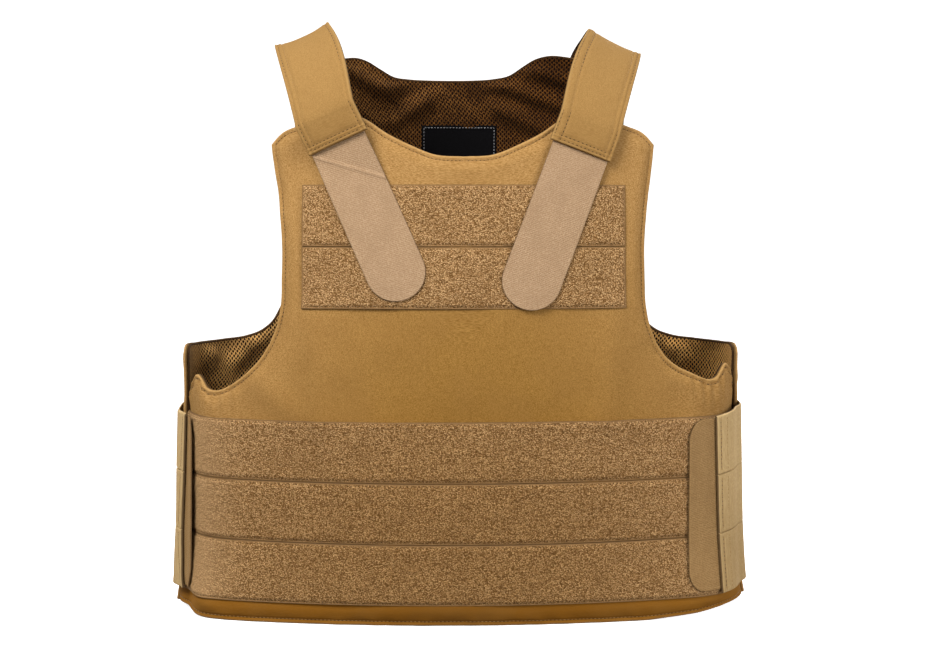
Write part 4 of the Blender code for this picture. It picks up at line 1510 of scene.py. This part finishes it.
def makeBand(side, number, rowName):
    # an elastic band whose front end is folded under itself and sewn, standing prouder there
    sign, tabFront, bandFront = closure[side]
    tabEnd = tabFront + closure["tabWidth"]
    bottom = closure["bandBottom"] + number * closure["bandPitch"]
    girth = float(halfGirth(frontPanel, 0.12) + halfGirth(backPanel, 0.12))
    length = girth - closure["backEnd"] - bandFront
    run = stepsAlong(length, 0.0022)
    width = closure["bandWidth"]
    forward, rise = np.meshgrid(run, stepsAlong(width, 0.0013, tapeOffsets, tapeOffsets))
    overTab = layers["hook"] + layers["gap"]

    def toEdge(x, y):
        return np.minimum(np.minimum(x, length - x), np.minimum(y, width - y))

    def face(x, y):
        depth = toEdge(x, y)
        fold = closure["hemRise"] * (1 - smoothStep((x - closure["hem"]) / 0.0020))
        height = layers["elastic"] * roundEdge(depth, 0.0008, 0.12) + fold * roundEdge(depth, 0.0014)
        ridge = np.sin(2 * np.pi * y / elasticLook["ribPitch"]) * smoothStep(depth / 0.002)
        height = height + closure["bandRibHeight"] * ridge
        for inset in closure["hemStitches"]:
            height = height - closure["groove"] * hump(x, inset, closure["grooveWidth"])
        return height

    def girdle(x, y, lift):
        # the front end leans back towards the hem, the back end stands upright, and the band climbs
        # a little on its way back
        height = bottom + y
        girthHere = halfGirth(frontPanel, height) + halfGirth(backPanel, height)
        around = bandFront + x + closure["slant"] * (1 - height / closure["tabTop"]) * (1 - x / length)
        around = around + (girthHere - girth) * x / length
        lift = lift + 0.6 * closure["standOff"] * (1 - smoothStep(x / 0.007))
        settled = smoothStep((around - tabEnd) / closure["settle"])
        climb = closure["climb"] * (0.4 + height / closure["tabTop"])
        climb = climb * np.minimum(x / closure["climbRun"], 1)
        return girdlePoint(sign, around, height + climb, overTab * (1 - settled) + lift)

    outer = girdle(forward, rise, face(forward, rise))
    inner = girdle(forward, rise, 0.0)
    cloth = np.stack([forward, rise + 0.2 * number, toEdge(forward, rise)], -1)
    name = "side_elastic_" + side + "_" + rowName
    # the dark brown on the band's inner face and edge walls is painted shade
    piece = closedSheet(name, outer, inner, cloth, elasticWebbing, None, shadedWalls, 1)
    settle(piece, name)

    def put(x, y, rise):
        return girdle(x, y, face(x, y) + rise)

    low = closure["bandStitchIn"]
    for x in [*closure["hemStitches"], *(length - inset for inset in closure["backStitches"])]:
        sewLine([(x, low), (x, width - low)], put)
    return piece


for sideName in ("left", "right"):
    makeSideTab(sideName)
    for number, rowName in enumerate(("lower", "middle", "upper")):
        makeBand(sideName, number, rowName)
print("side closures made")

label = {
    "half": 0.0362,
    "bottom": 0.3918,
    "top": 0.4383,
    "stitchIn": 0.0022,
    "border": 0.00025,
    "borderWidth": 0.0014,
}


def makeLabel():
    # a thin woven patch with a raised border, facing the body from the back lining
    half, bottom, top = label["half"], label["bottom"], label["top"]
    outerLift = -2 * layers["gap"] - layers["lining"]
    across, up = stripGrid(half, bottom, top - bottom, 0.0014)

    def face(x, y):
        depth = edgeDistance(x, y, half, bottom, top)
        height = layers["label"] * (0.2 + 0.55 * roundEdge(depth, 0.0006))
        return height + label["border"] * hump(depth, label["stitchIn"], label["borderWidth"])

    outer = wrap(backPanel, across, up, outerLift - face(across, up))
    inner = wrap(backPanel, across, up, outerLift)
    cloth = np.stack([across, up, edgeDistance(across, up, half, bottom, top)], -1)
    name = "neck_label"
    piece = settle(closedSheet(name, outer, inner, cloth, labelSatin), name)

    def put(x, y, rise):
        return wrap(backPanel, x, y, outerLift - face(x, y) - rise)

    line = frameLine(half, bottom, top, label["stitchIn"], label["stitchIn"])
    sewLine(line, put, 0.0030, 0.00024, 0.0002, "pale")
    return piece


makeLabel()
gatherStitches("tan", "tan_stitches", tanThread)
# the dark beads between stitches are painted shade
gatherStitches("hole", "stitch_dimple_shade", stitchDimpleShade)
gatherStitches("loop", "loop_stitches", tanThread)
gatherStitches("pale", "label_stitches", paleThread)
print("label and stitches made,", sum(len(points) for _, points in stitchForms), "beads")

studio = {
    "cameraDistance": 1.505,
    "cameraHeight": 0.3592,
    "cameraYaw": 1.5,
    "cameraPitch": -4.0,
    "lens": 63.8,
    "shiftX": 0.0038,
    "paper": (0.90, 0.90, 0.90, 1),
    "glow": 0.80,
    "skyStrength": 0.44,
    "skyBelow": (0.30, 0.22, 0.14, 1),
    # place, aim, size, power
    "key": ((-0.82, -1.10, 1.40), (0, -0.05, 0.30), 0.9, 36),
    "fill": ((1.36, -1.44, 0.52), (0, 0, 0.22), 1.2, 24),
    "top": ((0.10, 0.35, 2.0), (0, 0, 0.30), 1.2, 9),
    "rear": ((0.90, 1.80, 1.20), (0, 0.05, 0.28), 1.3, 20),
    "floorRadius": 3.0,
    "coveRadius": 2.0,
    "wallTop": 6.0,
}


def aim(thing, target):
    # turned so that its own -Z looks at the target
    away = thing.location - Vector(target)
    thing.rotation_euler = away.to_track_quat("Z", "Y").to_euler()


def makeStudio():
    # a pale round floor that curves up into a wall: flat, then a quarter circle, then upright, all
    # turned round the middle. Its bounce is left out, so that it can be bright without lighting the
    # vest from below
    world = bpy.data.worlds.new("studio")
    bpy.context.scene.world = world
    world.use_nodes = True
    sky = world.node_tree
    ray = addNode(sky, "ShaderNodeTexCoord").outputs["Generated"]
    rise = addNode(sky, "ShaderNodeSeparateXYZ", {0: ray}).outputs[2]
    tone = mixColours(sky, between(sky, rise, -0.5, 0.5), studio["skyBelow"], (1, 1, 1, 1))
    sky.links.new(tone, sky.nodes["Background"].inputs["Color"])
    sky.nodes["Background"].inputs["Strength"].default_value = studio["skyStrength"]
    for name in ("key", "fill", "top", "rear"):
        place, target, size, power = studio[name]
        light = bpy.data.objects.new(name, bpy.data.lights.new(name, "AREA"))
        light.data.shape = "DISK"
        light.data.size = size
        light.data.energy = power
        light.location = place
        light.visible_camera = False
        aim(light, target)
        bpy.context.scene.collection.objects.link(light)
    bend = np.linspace(0, np.pi / 2, 16)
    cove = studio["coveRadius"]
    reach = studio["floorRadius"]
    radius = np.concatenate([[0.5, 1.5], reach + cove * np.sin(bend), [reach + cove]])
    height = np.concatenate([[0, 0], cove * (1 - np.cos(bend)), [studio["wallTop"]]])
    sides = 72
    turn = np.arange(sides) * 2 * np.pi / sides
    ring = np.stack([np.cos(turn), np.sin(turn), np.zeros(sides)], -1)
    points = radius[:, None, None] * ring + height[:, None, None] * np.array([0, 0, 1.0])
    number = np.arange(len(radius) * sides).reshape(-1, sides)
    ahead = np.roll(number, -1, 1)
    faces = np.stack([number[:-1], ahead[:-1], ahead[1:], number[1:]], -1).reshape(-1, 4)
    material, tree, shader = newFinish("backdrop paper", 0.9, 0.0, 0.1)
    place = addNode(tree, "ShaderNodeTexCoord").outputs["Object"]
    tone = mixColours(tree, speckle(tree, place, 0.4), studio["paper"], (0.93, 0.93, 0.93, 1))
    tree.links.new(tone, shader.inputs["Base Color"])
    shader.inputs["Emission Color"].default_value = (1, 1, 1, 1)
    shader.inputs["Emission Strength"].default_value = studio["glow"]
    mesh = bpy.data.meshes.new("floor")
    mesh.from_pydata(points.reshape(-1, 3).tolist(), [], faces[:, ::-1].tolist() + [list(range(sides))])
    mesh.shade_smooth()
    mesh.materials.append(material)
    floor = bpy.data.objects.new("floor", mesh)
    floor.visible_diffuse = False
    floor.visible_shadow = False
    bpy.context.scene.collection.objects.link(floor)
    yaw, pitch = radians(studio["cameraYaw"]), radians(studio["cameraPitch"])
    camera = bpy.data.objects.new("camera", bpy.data.cameras.new("camera"))
    camera.data.lens = studio["lens"]
    camera.data.shift_x = studio["shiftX"]
    distance = studio["cameraDistance"]
    camera.location = (-distance * np.sin(yaw), -distance * np.cos(yaw), studio["cameraHeight"])
    camera.rotation_euler = (np.pi / 2 + pitch, 0, -yaw)
    bpy.context.scene.collection.objects.link(camera)
    bpy.context.scene.camera = camera
    bpy.context.scene.view_settings.view_transform = "Standard"


makeStudio()
print("studio made")
